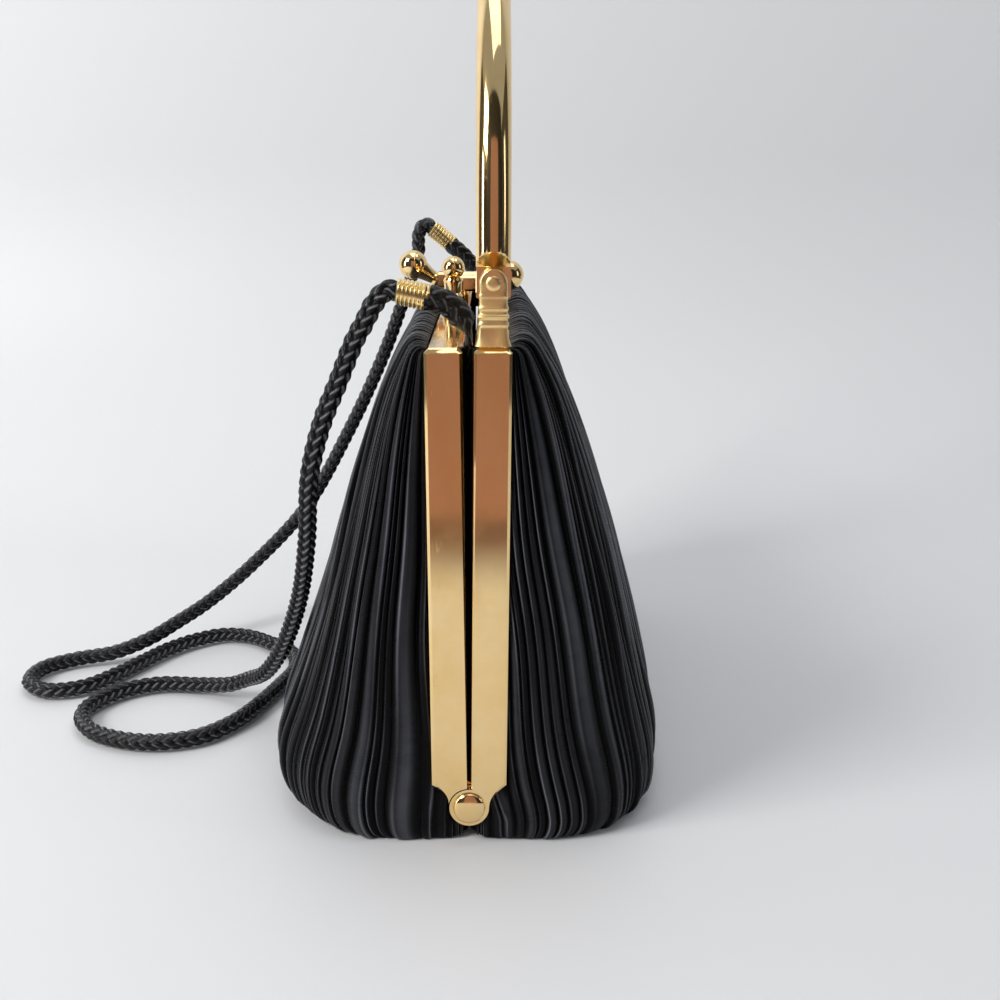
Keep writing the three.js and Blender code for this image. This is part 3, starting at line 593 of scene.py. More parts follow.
def wire_binding(end, x):
    """A helix of round wire: its centre line is start + axis t + (side cos + up sin)(turns
    2 pi t) times the winding radius, and a small circle is carried along it."""
    start, stop = (np.array((x, y, z), float) for y, z in WRAP_ROUTES[end])
    axis = unit(stop - start)
    up = np.cross(axis, (1.0, 0.0, 0.0))
    t = np.linspace(0, 1, WIRE_STEPS)
    angle = 2 * np.pi * WRAP_TURNS * t
    radial = np.cos(angle)[:, None] * np.array((1.0, 0.0, 0.0)) + np.sin(angle)[:, None] * up
    winding = WRAP_OUTER - WIRE_RADIUS
    inset = WIRE_RADIUS * 0.8 * axis
    line = start + inset + t[:, None] * (stop - start - 2 * inset) + winding * radial
    across = unit(np.cross(np.gradient(line, axis=0), radial))
    ring = np.linspace(0, 2 * np.pi, WIRE_SIDES, endpoint=False)
    circle = WIRE_RADIUS * np.stack((np.cos(ring), np.sin(ring)), -1)
    rings = line[:, None] + circle[None, :, :1] * radial[:, None] + circle[None, :, 1:] * across[:, None]
    return make_piece(
        f"wire_binding_{end}", outward(rings_surface(rings)), GILT_WIRE, [f"cord_wrap_{end}"]
    )


cord_ends = []
for end, x in (("near", LEAD_X), ("far", -LEAD_X)):
    cord_ends += [lead_piece(end, x), wire_binding(end, x)]

# %% [markdown]
# ## The frame
# Each half of the frame is a U of bright bar, and its posts end in ears that meet on one
# rivet. A half is drawn upright about the hinge's axis, then leaned out a little, because
# the mouth is slightly wider at the top than at the ears.
#
# The bar could be one swept section, but the flat end face, its crisp chamfer and the round
# ear read best as a plate with its own outline. So a half is a bar with two end plates.

# %% Frame sizes
HALF_LENGTH = node_box("back_frame")[1][0]
HINGE_HEIGHT = sum(node_box("hinge_rivet_near"))[2] / 2
FRAME_TOP = 115.0
BAR_WIDTH = 8.0
BAR_DEPTH = 4.5
MOUTH_GAP = 2.5
FOOT_GAP = 1.0
CHAMFER = 1.0
EDGE_CHAMFER = 0.6
SIDE_DEPTH = 0.35
EAR_CHAMFER = 0.15
SHOULDER_HEIGHT = 15.0
EAR_RADIUS = 4.7
PLATE_DEPTH = 2.0
EAR_CLEARANCE = 0.12
LEAN = np.arctan((MOUTH_GAP - FOOT_GAP) / 2 / (FRAME_TOP - SHOULDER_HEIGHT))
INNER_Y = FOOT_GAP / 2 - (SHOULDER_HEIGHT - HINGE_HEIGHT) * np.tan(LEAN)
OUTER_Y = INNER_Y + BAR_WIDTH
TOP = FRAME_TOP - HINGE_HEIGHT
SHOULDER = SHOULDER_HEIGHT - HINGE_HEIGHT
print("frame: half length", HALF_LENGTH, "hinge height", round(HINGE_HEIGHT, 2))
print("frame: lean in degrees", round(np.degrees(LEAN), 2))


# %% Plates
def arc(radius, start, stop, steps):
    """Points on a circle round the origin between two angles in degrees."""
    angle = np.radians(np.linspace(start, stop, steps))
    return radius * np.stack((np.cos(angle), np.sin(angle)), -1)


def bow(start, pull, stop, steps):
    """A quadratic curve from start to stop, drawn towards the point pull."""
    t = np.linspace(0, 1, steps)[:, None]
    start, pull, stop = (np.array(p, float) for p in (start, pull, stop))
    return (1 - t) ** 2 * start + 2 * t * (1 - t) * pull + t**2 * stop


def inset_outline(outline, amount):
    """The outline moved inwards: each corner along the sum of its two edges' normals,
    divided by one plus their dot product."""
    edge = unit(np.roll(outline, -1, axis=0) - outline)
    normal = np.stack((-edge[:, 1], edge[:, 0]), -1)
    before = np.roll(normal, 1, axis=0)
    share = 1 + np.einsum("ij,ij->i", normal, before)
    return outline + amount * (normal + before) / share[:, None]


def plate(outline, levels, across, up, axis, origin=(0, 0, 0)):
    """An outline drawn on the directions across and up, stacked along axis. Each level is
    (inset, distance), with one inset for all corners or one for each. Flat faces close
    both ends."""
    directions = np.array((across, up, axis), float)
    rings = []
    for inset, distance in levels:
        amount = np.broadcast_to(np.asarray(inset, float), len(outline))[:, None]
        rings.append(np.column_stack((inset_outline(outline, amount), np.full(len(outline), distance))))
    points = np.stack(rings) @ directions + np.asarray(origin, float)
    return outward(rings_surface(points))


AXIS_X, AXIS_Y, AXIS_Z = np.eye(3)


def end_outline(with_ear):
    """The end face of a post and the width of its chamfer at each corner: straight sides,
    cut top corners, and a concave shoulder that runs into the round ear, or into the edge
    cut for the other half's ear, which stays square."""
    cut = (EAR_RADIUS + EAR_CLEARANCE, 14, 0)
    radius, stop, edge = (EAR_RADIUS, 360, EAR_CHAMFER) if with_ear else cut
    foot = arc(radius, np.degrees(np.arccos(INNER_Y / radius)), stop, 52 if with_ear else 18)
    pull = (foot[-1][0] + 0.08, foot[-1][1] * 0.5 + SHOULDER - 2.8)
    shoulder = bow(foot[-1], pull, (OUTER_Y, SHOULDER), 16)[1:]
    top = [
        (OUTER_Y, TOP - CHAMFER), (OUTER_Y - CHAMFER, TOP),
        (INNER_Y + CHAMFER, TOP), (INNER_Y, TOP - CHAMFER),
    ]
    chamfer = np.concatenate((
        np.full(len(foot), edge), np.linspace(edge, EDGE_CHAMFER, len(shoulder)),
        [EDGE_CHAMFER, CHAMFER, CHAMFER, EDGE_CHAMFER],
    ))
    return np.vstack((foot, shoulder, top)), chamfer


def end_plate(with_ear):
    """The near end plate of a half. The chamfer along its sides is shallow, and the one
    along its top starts deeper, so that it faces up."""
    outline, chamfer = end_outline(with_ear)
    steep = np.zeros(len(chamfer))
    steep[-3:-1] = CHAMFER * 0.6
    levels = [
        (0, 0), (0, PLATE_DEPTH - CHAMFER),
        (steep, PLATE_DEPTH - SIDE_DEPTH), (chamfer, PLATE_DEPTH),
    ]
    return plate(outline, levels, AXIS_Y, AXIS_Z, AXIS_X, (HALF_LENGTH - PLATE_DEPTH, 0, 0))


def hidden_ear():
    """The front half's ear, set back behind the back half's ear."""
    outline = np.vstack(([(INNER_Y, SHOULDER + 3), (INNER_Y, SHOULDER)], arc(EAR_RADIUS, 120, 375, 44)))
    outline = np.vstack((outline, [(OUTER_Y, SHOULDER), (OUTER_Y, SHOULDER + 3)]))
    levels = [(0, 0), (0, PLATE_DEPTH)]
    return plate(outline, levels, AXIS_Y, AXIS_Z, AXIS_X, (HALF_LENGTH - 2 * PLATE_DEPTH - 0.3, 0, 0))


# %% Frame halves
def u_bar():
    """The bar behind the end plates. At each of its four stations an outer and an inner
    point are joined by a section: P = outer + (inner - outer) depth + y. The top edges are
    chamfered, as the plates are."""
    reach = HALF_LENGTH - PLATE_DEPTH
    inside = HALF_LENGTH - BAR_DEPTH
    outer = np.array([(-reach, 0, SHOULDER), (-reach, 0, TOP), (reach, 0, TOP), (reach, 0, SHOULDER)])
    inner = np.array([(-inside, 0, SHOULDER), (-inside, 0, TOP - BAR_DEPTH), (inside, 0, TOP - BAR_DEPTH),
                      (inside, 0, SHOULDER)])
    cut = CHAMFER / BAR_DEPTH
    depth = np.array([0, cut, 1 - cut, 1, 1, 1 - cut, cut, 0])
    low, high = INNER_Y, OUTER_Y
    y = np.array([low + CHAMFER, low, low, low + CHAMFER, high - CHAMFER, high, high, high - CHAMFER])
    rings = outer[:, None] + (inner - outer)[:, None] * depth[None, :, None] + y[None, :, None] * AXIS_Y
    return outward(rings_surface(rings))


def lean_half(surface, front):
    """A half leaned out about the hinge's axis and lifted to it. The front half is also
    mirrored to the other side."""
    points, faces = surface
    x, y, z = points.T
    turned = np.stack((x, y * np.cos(LEAN) + z * np.sin(LEAN), z * np.cos(LEAN) - y * np.sin(LEAN)), -1)
    half = turned + (0, 0, HINGE_HEIGHT), faces
    return mirrored(half, 1) if front else half


for front, name in ((False, "back_frame"), (True, "front_frame")):
    ends = [end_plate(with_ear=not front)] + ([hidden_ear()] if front else [])
    ends += [mirrored(part, 0) for part in ends]
    half = joined(u_bar(), *ends)
    make_piece(f"gilt_{name}", lean_half(half, front), GILT, [name])


# %% [markdown]
# ## Rivets and other turned pieces
# The hinge rivets have a round flange and a dome, and the clasp has balls on stems. All of
# these are turned pieces, so each is a profile of radius and height carried round an axis.


# %% Turned pieces
def turned(profile, centre, axis, sides=40):
    """P(i, j) = centre + height axis + radius (side cos j + up sin j). A profile starts and
    ends on the axis, where a fan of triangles closes it."""
    radius, height = np.array(profile, float).T
    axis = unit(np.array(axis, float))
    side = unit(np.cross(axis, AXIS_Z if abs(axis[2]) < 0.9 else AXIS_X))
    up = np.cross(axis, side)
    angle = np.linspace(0, 2 * np.pi, sides, endpoint=False)
    around = np.cos(angle)[:, None] * side + np.sin(angle)[:, None] * up
    rings = height[1:-1, None, None] * axis + radius[1:-1, None, None] * around[None]
    points = np.vstack((rings.reshape(-1, 3), height[0] * axis, height[-1] * axis))
    points = points + np.asarray(centre, float)
    rows, ring = len(radius) - 2, np.arange(sides)
    after, last = (ring + 1) % sides, (rows - 1) * sides
    foot = np.stack((np.full(sides, rows * sides), after, ring), -1)
    crown = np.stack((np.full(sides, rows * sides + 1), last + ring, last + after), -1)
    return outward((points, [grid_faces(rows, sides, wrap=True), foot, crown]))


def dome(radius, rise, foot, steps=9):
    """The profile of a dome: radius cos a, foot + rise sin a, for a from 0 to 90 degrees."""
    a = np.linspace(0, np.pi / 2, steps)
    profile = np.stack((radius * np.cos(a), foot + rise * np.sin(a)), -1)
    profile[-1, 0] = 0
    return profile.tolist()


def ball(centre, radius, sides=36):
    """A ball, as half a circle turned about the vertical."""
    a = np.linspace(-np.pi / 2, np.pi / 2, sides // 2 + 1)
    profile = np.stack((radius * np.cos(a), radius * np.sin(a)), -1)
    profile[[0, -1], 0] = 0
    return turned(profile, centre, AXIS_Z, sides)


# %% Hinge rivets
RIVET_PROFILE = [
    (0, -5.5), (2.4, -5.5), (2.4, -4.6), (1.5, -4.6), (1.5, 0.02), (3.92, 0.02),
    (3.9, 0.1), (3.8, 0.13), (3.7, 0.08), *dome(3.65, 1.35, 0.08, 14),
]
for end, sign in (("near", 1), ("far", -1)):
    rivet = turned(RIVET_PROFILE, (sign * HALF_LENGTH, 0, HINGE_HEIGHT), (sign, 0, 0), 56)
    make_piece(f"domed_rivet_{end}", rivet, GILT, [f"hinge_rivet_{end}"])

# %% [markdown]
# ## The clasp
# Two castings close the mouth. Each has a bar on its half of the frame, a short post with a
# ball at one end of that bar, and an arm that crosses the mouth to a larger ball on a
# flared neck. The blocks are chamfered plates, and everything round is a turned piece.

# %% Clasp
BAR_MIDDLE = MOUTH_GAP / 2 + BAR_WIDTH / 2
SEAT = FRAME_TOP + 0.3
CLASP_BAR = {"half": 15.0, "width": 5.0, "height": 3.3}
CLASP_POST = {"x": 12.5, "radius": 2.7, "top": 123.4, "ball": 3.05, "ball_height": 126.0}
CLASP_ARM = {"half": 2.6, "foot": 119.4, "height": 4.2}
CLASP_BALL = 4.0
CLASP_CHAMFER = 0.6
CLASPS = {
    "clasp_front": {"side": -1, "x": 6.0, "end": 4.2, "ball_y": 9.7, "ball_height": 123.6},
    "clasp_back": {"side": 1, "x": -6.0, "end": -10.6, "ball_y": -17.1, "ball_height": 125.5},
}


def block(low, high, chamfer):
    """A box with all its edges chamfered: a rectangle with its corners cut, inset at the
    first and last level."""
    low, high = np.array(low, float), np.array(high, float)
    (x0, y0, z0), (x1, y1, z1) = low, high
    c = chamfer
    outline = np.array([
        (x0 + c, y0), (x1 - c, y0), (x1, y0 + c), (x1, y1 - c),
        (x1 - c, y1), (x0 + c, y1), (x0, y1 - c), (x0, y0 + c),
    ])
    levels = [(c, z0), (0, z0 + c), (0, z1 - c), (c, z1)]
    return plate(outline, levels, AXIS_X, AXIS_Y, AXIS_Z)


def clasp_half(side, x, end, ball_y, ball_height):
    """One casting of the clasp."""
    y = side * BAR_MIDDLE
    half, width, height = CLASP_BAR.values()
    low, high = (-half, y - width / 2, SEAT), (half, y + width / 2, SEAT + height)
    parts = [block(low, high, CLASP_CHAMFER)]
    post, post_x = CLASP_POST, -side * CLASP_POST["x"]
    r, top = post["radius"], post["top"]
    stem = [
        (0, SEAT), (r + 0.25, SEAT), (r + 0.3, SEAT + 3.4), (r + 0.1, SEAT + 3.7),
        (r - 0.3, SEAT + 4.1), (r - 0.2, top - 1.4), (r, top - 0.6), (r - 0.3, top), (0, top + 0.4),
    ]
    parts.append(turned(stem, (post_x, y, 0), AXIS_Z))
    parts.append(ball((post_x, y, post["ball_height"]), post["ball"]))
    arm, root = CLASP_ARM, y - side * width / 2
    low_y, high_y = sorted((y + side * width / 2, end))
    foot = arm["foot"]
    low, high = (x - arm["half"], low_y, foot), (x + arm["half"], high_y, foot + arm["height"])
    parts.append(block(low, high, CLASP_CHAMFER))
    pillar = [(0, SEAT), (arm["half"], SEAT), (arm["half"], foot + 1), (0, foot + 1)]
    parts.append(turned(pillar, (x, (root + y) / 2, 0), AXIS_Z))
    start = np.array((x, end, foot + arm["height"] / 2))
    stop = np.array((x, ball_y, ball_height))
    length = np.linalg.norm(stop - start)
    neck = [
        (0, -0.8), (2.3, -0.8), (2.45, -0.2), (2.3, 0.4), (1.75, 0.7), (1.8, 1.1),
        (2.2, length * 0.42), (3.0, length - 1.9), (3.3, length - 1.0), (0, length),
    ]
    parts.append(turned(neck, start, stop - start))
    parts.append(ball(stop, CLASP_BALL, 48))
    return joined(*parts)


for name, values in CLASPS.items():
    make_piece(f"gilt_{name}", clasp_half(**values), GILT, [name])

# %% [markdown]
# ## The handle and its brackets
# The handle is a round tube bent to an arch. Each foot is cut away on the outside and laps
# the round-topped tongue of a bracket, where a small domed rivet holds it. The bracket's
# ribs and tongue are one lofted surface: at each height it has a half width and an outer
# face, and the round top follows a circle.

# %% Handle sizes
HANDLE_LOW, HANDLE_HIGH = node_box("handle")
HANDLE_RADIUS = (HANDLE_HIGH[1] - HANDLE_LOW[1]) / 2
HANDLE_Y = (HANDLE_HIGH[1] + HANDLE_LOW[1]) / 2
HANDLE_FOOT = HANDLE_LOW[2]
HANDLE_LEG_X = 85.0
HANDLE_LEG_TOP = 140.0
HANDLE_TOP = 207.0
PIVOT_HEIGHT = 128.2
LAP_X = 85.4
LAP_TOP = PIVOT_HEIGHT + 3.15
SCOOP_RISE = 3.2
ARCH_STEPS = 150
HANDLE_SIDES = 64
TONGUE_HALF = 2.95
TONGUE_X = 88.3


# %% Handle
def arch_tube():
    """A circle carried up one leg, along half an ellipse (X = leg cos a, Z = leg top + rise
    sin a) and down the other leg. Below the lap's top the outside of the circle is cut off
    flat, and the cut runs out in a short hollow slope."""
    leg = np.concatenate((
        HANDLE_FOOT + np.array([0, 0.25, 0.7]),
        np.linspace(HANDLE_FOOT + 1.5, LAP_TOP, 6),
        LAP_TOP + np.linspace(0.15, SCOOP_RISE, 12),
        np.linspace(LAP_TOP + SCOOP_RISE, HANDLE_LEG_TOP, 5)[1:-1],
    ))
    a = np.linspace(0, np.pi, ARCH_STEPS)
    leg_x = np.full(len(leg), HANDLE_LEG_X)
    x = np.concatenate((leg_x, HANDLE_LEG_X * np.cos(a), -leg_x))
    z = np.concatenate((leg, HANDLE_LEG_TOP + (HANDLE_TOP - HANDLE_LEG_TOP) * np.sin(a), leg[::-1]))
    path = np.stack((x, np.full(len(x), HANDLE_Y), z), -1)
    along = unit(np.gradient(path, axis=0))
    side = np.cross(AXIS_Y, along)
    angle = np.linspace(0, 2 * np.pi, HANDLE_SIDES, endpoint=False)
    radius = np.full(len(x), HANDLE_RADIUS)
    radius[[0, -1]] -= 0.5
    radius[[1, -2]] -= 0.14
    circle = np.stack((np.cos(angle), np.sin(angle)), -1)
    rings = path[:, None] + radius[:, None, None] * (
        circle[None, :, :1] * side[:, None] + circle[None, :, 1:] * AXIS_Y
    )
    rise = np.clip((z - LAP_TOP) / SCOOP_RISE, 0, 1)
    limit = LAP_X + (HANDLE_LEG_X + HANDLE_RADIUS - LAP_X) * rise**1.3
    on_leg = z < HANDLE_LEG_TOP - 1
    limit = np.where(on_leg, limit, np.inf)[:, None]
    rings[..., 0] = np.clip(rings[..., 0], -limit, limit)
    return outward(rings_surface(rings))


make_piece("arched_handle", arch_tube(), GILT, ["handle"], body="handle")


# %% Brackets
BRACKET_FOOT = SEAT
RIBS_TOP = 126.8
RIBS = ((119.8, 0.3), (121.4, 0.42), (123.1, 0.24), (125.6, 0.12))
RIB_WIDTH = 0.42


def bracket_levels():
    """Height, half width and outer face from the foot to the tongue. Width and face fall
    off from the flared foot as exponentials, and each rib adds a bell: rise exp(-d^2)."""
    height = np.arange(BRACKET_FOOT, RIBS_TOP, 0.13)
    above = height - BRACKET_FOOT
    ribs = sum(rise * np.exp(-(((height - place) / RIB_WIDTH) ** 2)) for place, rise in RIBS)
    half = TONGUE_HALF + 0.85 * np.exp(-above / 1.7) + ribs * 0.9
    outer = TONGUE_X - 0.2 + 0.75 * np.exp(-above / 2.4) + ribs
    return height, half, outer


def rounded_rings(heights, halves, outer, inner, sides=48, power=0.5):
    """Rings of a loft: x and y run round a rectangle with rounded corners, as the sine and
    the cosine raised to a small power."""
    angle = np.linspace(0, 2 * np.pi, sides, endpoint=False)
    c, s = np.cos(angle), np.sin(angle)
    x = np.sign(c) * np.abs(c) ** power
    y = np.sign(s) * np.abs(s) ** power
    middle, reach = (outer + inner) / 2, (outer - inner) / 2
    return np.stack((
        middle[:, None] + reach[:, None] * x,
        HANDLE_Y + halves[:, None] * y,
        np.broadcast_to(heights[:, None], (len(heights), sides)),
    ), -1)


def bracket():
    """The near bracket: the loft of its flared foot, ribs and tongue, and a block behind
    the foot."""
    base = block((83.4, HANDLE_Y - 3.3, SEAT), (86.5, HANDLE_Y + 3.3, 118.6), 0.5)
    height, half, outer = bracket_levels()
    a = np.linspace(0, np.radians(80), 14)
    height = np.concatenate((height, PIVOT_HEIGHT + TONGUE_HALF * np.sin(a)))
    half = np.concatenate((half, TONGUE_HALF * np.cos(a)))
    outer = np.concatenate((outer, TONGUE_X + 0.05 * np.cos(a)))
    inner = np.full(len(height), LAP_X + 0.3)
    return joined(base, outward(rings_surface(rounded_rings(height, half, outer, inner))))


PIVOT_PROFILE = [
    (0, -8.0), (1.8, -8.0), (1.8, -7.25), (1.0, -7.25), (1.0, 0.0), (1.6, 0.0), *dome(1.55, 0.6, 0.06),
]
for end, sign in (("near", 1), ("far", -1)):
    piece = bracket() if sign > 0 else mirrored(bracket(), 0)
    make_piece(f"ribbed_bracket_{end}", piece, GILT_CAST, [f"handle_bracket_{end}"])
    pivot = turned(PIVOT_PROFILE, (sign * TONGUE_X, HANDLE_Y, PIVOT_HEIGHT), (sign, 0, 0), 32)
    make_piece(f"pivot_rivet_{end}", pivot, GILT_CAST, [f"handle_rivet_{end}"])

# %% [markdown]
# ## The satin
# Each half of the pouch is one panel of satin, gathered into narrow irregular pleats and
# held in the frame along its top and its posts. Seen from the end it hangs like a bell: it
# comes out over the top bar, falls outwards to its widest near the bottom, and turns in
# under itself. At each end the panel runs on behind the post, and comes out again below it
# beside the ear.
#
# The panel is a surface of two parameters: a level from the mouth down to the seam, and a
# distance along the satin from the post. The pleats are a height above it. The grid's
# columns follow the pleats, with columns on every valley and fold, so the folds stay crisp
# on few points.

# %% Pouch form
POUCH_LEVELS = np.array([
    # depth, height, end inset, end height, half length, pleat, sway
    (8.9, 114.6, 0.5, 114.4, 86.6, 0.1, 0), (12.4, 115, 0, 113, 86.9, 0.7, 0.2),
    (15, 112, 0, 110, 87.1, 1, 0.3), (20.2, 103, 0, 101, 87.2, 1, 0.6),
    (25.9, 88, 0, 86.5, 87.3, 1, 0.9), (32.2, 68, 0, 67, 87.4, 1, 1),
    (38, 48, 0, 48, 87.4, 1, 0.8), (43.6, 30, 0, 28, 87.4, 1, 0),
    (47.6, 17, 0, 15, 87.4, 1, -0.9), (48.1, 8, 0, 8, 87.3, 0.9, -0.8),
    (45.5, 2, 0, 2.4, 87, 0.7, -0.2), (37, 0, 0, 0, 86.2, 0.3, 0),
    (9, 0, 0, 0, 84.6, 0, 0), (0.4, 4.2, 8.35, 4.2, 83.6, 0, 0),
])
PLAN_POWER = 4
SPACING_LEVEL = 5
SATIN_ROWS = 60
SATIN_THICKNESS = 0.25


def between_levels(count):
    """The table of levels drawn out to more rows: each column is a smooth cubic between
    its values, with slopes from the neighbours."""
    slope = np.gradient(POUCH_LEVELS, axis=0)
    place = np.linspace(0, len(POUCH_LEVELS) - 1, count)
    first = np.minimum(place.astype(int), len(POUCH_LEVELS) - 2)
    t = (place - first)[:, None]
    a, b = POUCH_LEVELS[first], POUCH_LEVELS[first + 1]
    return (
        a + slope[first] * t
        + (3 * (b - a) - 2 * slope[first] - slope[first + 1]) * t**2
        + (2 * (a - b) + slope[first] + slope[first + 1]) * t**3
    )


def panel(levels, angle):
    """P(level, angle): X = half length cos, Y from the post out to depth by sin, Z from the
    end's height to the middle's by sin, with sin and cos raised to two over PLAN_POWER."""
    depth, height, inset, end_height, half_length = (column[:, None] for column in levels.T[:5])
    post = OUTER_Y + (end_height - HINGE_HEIGHT) * np.tan(LEAN)
    end_y = post + 0.1 - inset
    along = np.sign(np.cos(angle)) * np.abs(np.cos(angle)) ** (2 / PLAN_POWER)
    across = np.abs(np.sin(angle)) ** (2 / PLAN_POWER)
    y = end_y + (np.maximum(depth, end_y) - end_y) * across
    z = np.maximum(end_height + (height - end_height) * across, 0)
    return np.stack(np.broadcast_arrays(half_length * along, y, z), -1)


# %% Tuck behind the posts
TUCK_REACH = 6.0
TUCK_END = 60.0
TUCK_STEPS = (0, 0.3, 0.55, 1)
BEHIND_POST = ((84.2, 8.6), (84.2, 5.0), (84.2, 0.35))
BEHIND_EAR = ((86.6, 5.2), (84.5, 4.7), (84.4, 0.35))
UNDER_EAR = ((86.4, 5.0), (85.9, 3.0), (85.2, 0.35))
MIDDLE_LIFT = 2.0


def smooth_step(value):
    """0 below 0, 1 above 1, and 3 v^2 - 2 v^3 between."""
    v = np.clip(value, 0, 1)
    return v * v * (3 - 2 * v)


def below_shoulder(height):
    """0 beside the post and 1 below its shoulder."""
    return smooth_step((SHOULDER_HEIGHT + 0.4 - height) / 2.4)


def tuck(levels, t):
    """The satin behind a post: from the panel's edge at t = 0 to the middle of the bag at
    t = 1, on straight runs between four plan points. Behind the post they lie deep, beside
    the ear further out, and under the ear they reach almost to its face."""
    edge = panel(levels, np.zeros((1, 1)))
    x, y, z = (edge[..., k] for k in range(3))
    low, under = below_shoulder(z), smooth_step((HINGE_HEIGHT - EAR_RADIUS + 0.6 - z) / 1.5)
    plan = np.concatenate((x, y), 1)[:, None, :]
    for post, ear, bottom in zip(BEHIND_POST, BEHIND_EAR, UNDER_EAR):
        target = np.array(post) + low * (np.array(ear) - post)
        target = target + under * (np.array(bottom) - target)
        plan = np.concatenate((plan, np.minimum(target, plan[:, 0])[:, None]), 1)
    run = [np.clip((t - a) / (b - a), 0, 1)[..., None] for a, b in zip(TUCK_STEPS[:-1], TUCK_STEPS[1:])]
    spot = plan[:, :1] + sum(run[k] * (plan[:, k + 1] - plan[:, k])[:, None] for k in range(3))
    return np.concatenate((spot, np.maximum(z, MIDDLE_LIFT * t**2)[..., None]), -1)


def satin_form(levels, distance):
    """Points of the panel at distances along it. Below 0 and beyond its far edge the satin
    turns in behind the posts, and the run behind a post fills as 1 - exp(-distance)."""
    fine = np.linspace(0, np.pi, 6000)
    line = panel(POUCH_LEVELS[[SPACING_LEVEL]], fine[None])[0]
    along = np.concatenate(([0], np.cumsum(np.linalg.norm(np.diff(line, axis=0), axis=1))))
    points = panel(levels, np.interp(np.clip(distance, 0, along[-1]), along, fine))
    near = tuck(levels, 1 - np.exp(np.minimum(distance, 0) / TUCK_REACH))
    far = tuck(levels, 1 - np.exp(np.minimum(along[-1] - distance, 0) / TUCK_REACH)) * (-1, 1, 1)
    points = np.where((distance < 0)[..., None], near, points)
    return np.where((distance > along[-1])[..., None], far, points), along[-1]


# %% Pleats
PLEAT_SEED = 12
FRONT_PLEATS = [1.8, 4.4, 1.5, 1.2, 2.7, 2.3, 2.0, 1.3, 1.2, 1.5, 1.1, 1.4, 1.2, 1.6]
BACK_PLEATS = [1.9, 2.1, 1.7, 5.6, 3.4, 1.6, 1.8, 1.4, 2.6, 2.0]
SIDE_PLEATS = [2.6, 2.0, 3.2, 1.9, 2.5, 3.4, 2.1, 2.8]
FRONT_HIDDEN = [2.2, 1.8, 2.4, 1.6, 2.0]
BACK_HIDDEN = [2.4, 1.9, 2.6, 1.8, 2.2, 2.0, 2.5, 1.7, 2.1]
FINE_SHARES = np.array([0, 0.06, 0.13, 0.2, 0.28, 0.42, 0.58, 0.72, 0.8, 0.87, 0.94])
PLAIN_SHARES = np.array([0, 0.1, 0.2, 0.4, 0.65, 0.85])
FINE_PLEATS = 26
MOST_PLEATS = 120
PLEAT_SHARE = 0.7
PLEAT_LIMIT = 2.2
RELIEF_LIFT = 0.15
# Width of the painted fold line, and the strength, place and width of the painted sheen.
FOLD_HIGHLIGHT_WIDTH = 0.06
SHEEN = 0.45
SHEEN_PLACE = 0.52
SHEEN_WIDTH = 0.18
NARROW_PLEAT = 1.2
FOLD_SHARE = 0.2
TURNED_SHARE = 0.3
EVENNESS = 0.55
EVEN_VALUE = 0.6
FULL_TURN = 6.28
EDGE_FADE = 1.2
EAR_PLEATS = 0.6
BACK_SLANT = 9.0
SLANT_REACH = 22.0


def pleat_columns(front, length):
    """For each column of the grid: its place along the gathered satin, its pleat and its
    share across that pleat. The pleats start behind the near post and end behind the far
    one."""
    own, hidden = (FRONT_PLEATS, FRONT_HIDDEN) if front else (BACK_PLEATS, BACK_HIDDEN)
    side = np.resize(SIDE_PLEATS, MOST_PLEATS)
    side = side[np.cumsum(side) < length - np.sum(own) + np.sum(FRONT_HIDDEN)]
    widths = np.concatenate((hidden, own, side))
    valleys = np.cumsum(widths) - widths - np.sum(hidden)
    counts = np.where(np.arange(len(widths)) < FINE_PLEATS, len(FINE_SHARES), len(PLAIN_SHARES))
    pleat = np.repeat(np.arange(len(widths)), counts)
    fine, plain = np.tile(FINE_SHARES, FINE_PLEATS), np.tile(PLAIN_SHARES, len(widths) - FINE_PLEATS)
    share = np.concatenate((fine, plain))
    return valleys[pleat] + share * widths[pleat], pleat, share, widths


def wandered(front, place, down):
    """Distance of a pleat line along the satin at a depth below the top: its place less a
    slow wander, and on the back more near the post, where the lines slant outwards. The
    shift depends on the distance itself, so it is found by repeating."""
    distance = np.broadcast_to(place, np.broadcast_shapes(place.shape, down.shape)).copy()
    for _ in range(10):
        out = np.maximum(distance, 0)
        shift = 0.5 * np.sin(down / 13 + out / 9) + 0.35 * np.sin(down / 7.3 + 1.7 + out / 17)
        distance = place - shift * (0.2 + 0.5 * np.exp(-out / 18))
        if not front:
            distance += BACK_SLANT * np.clip(down / 100, 0, 1.1) ** 1.3 * np.exp(-out / SLANT_REACH)
    return distance


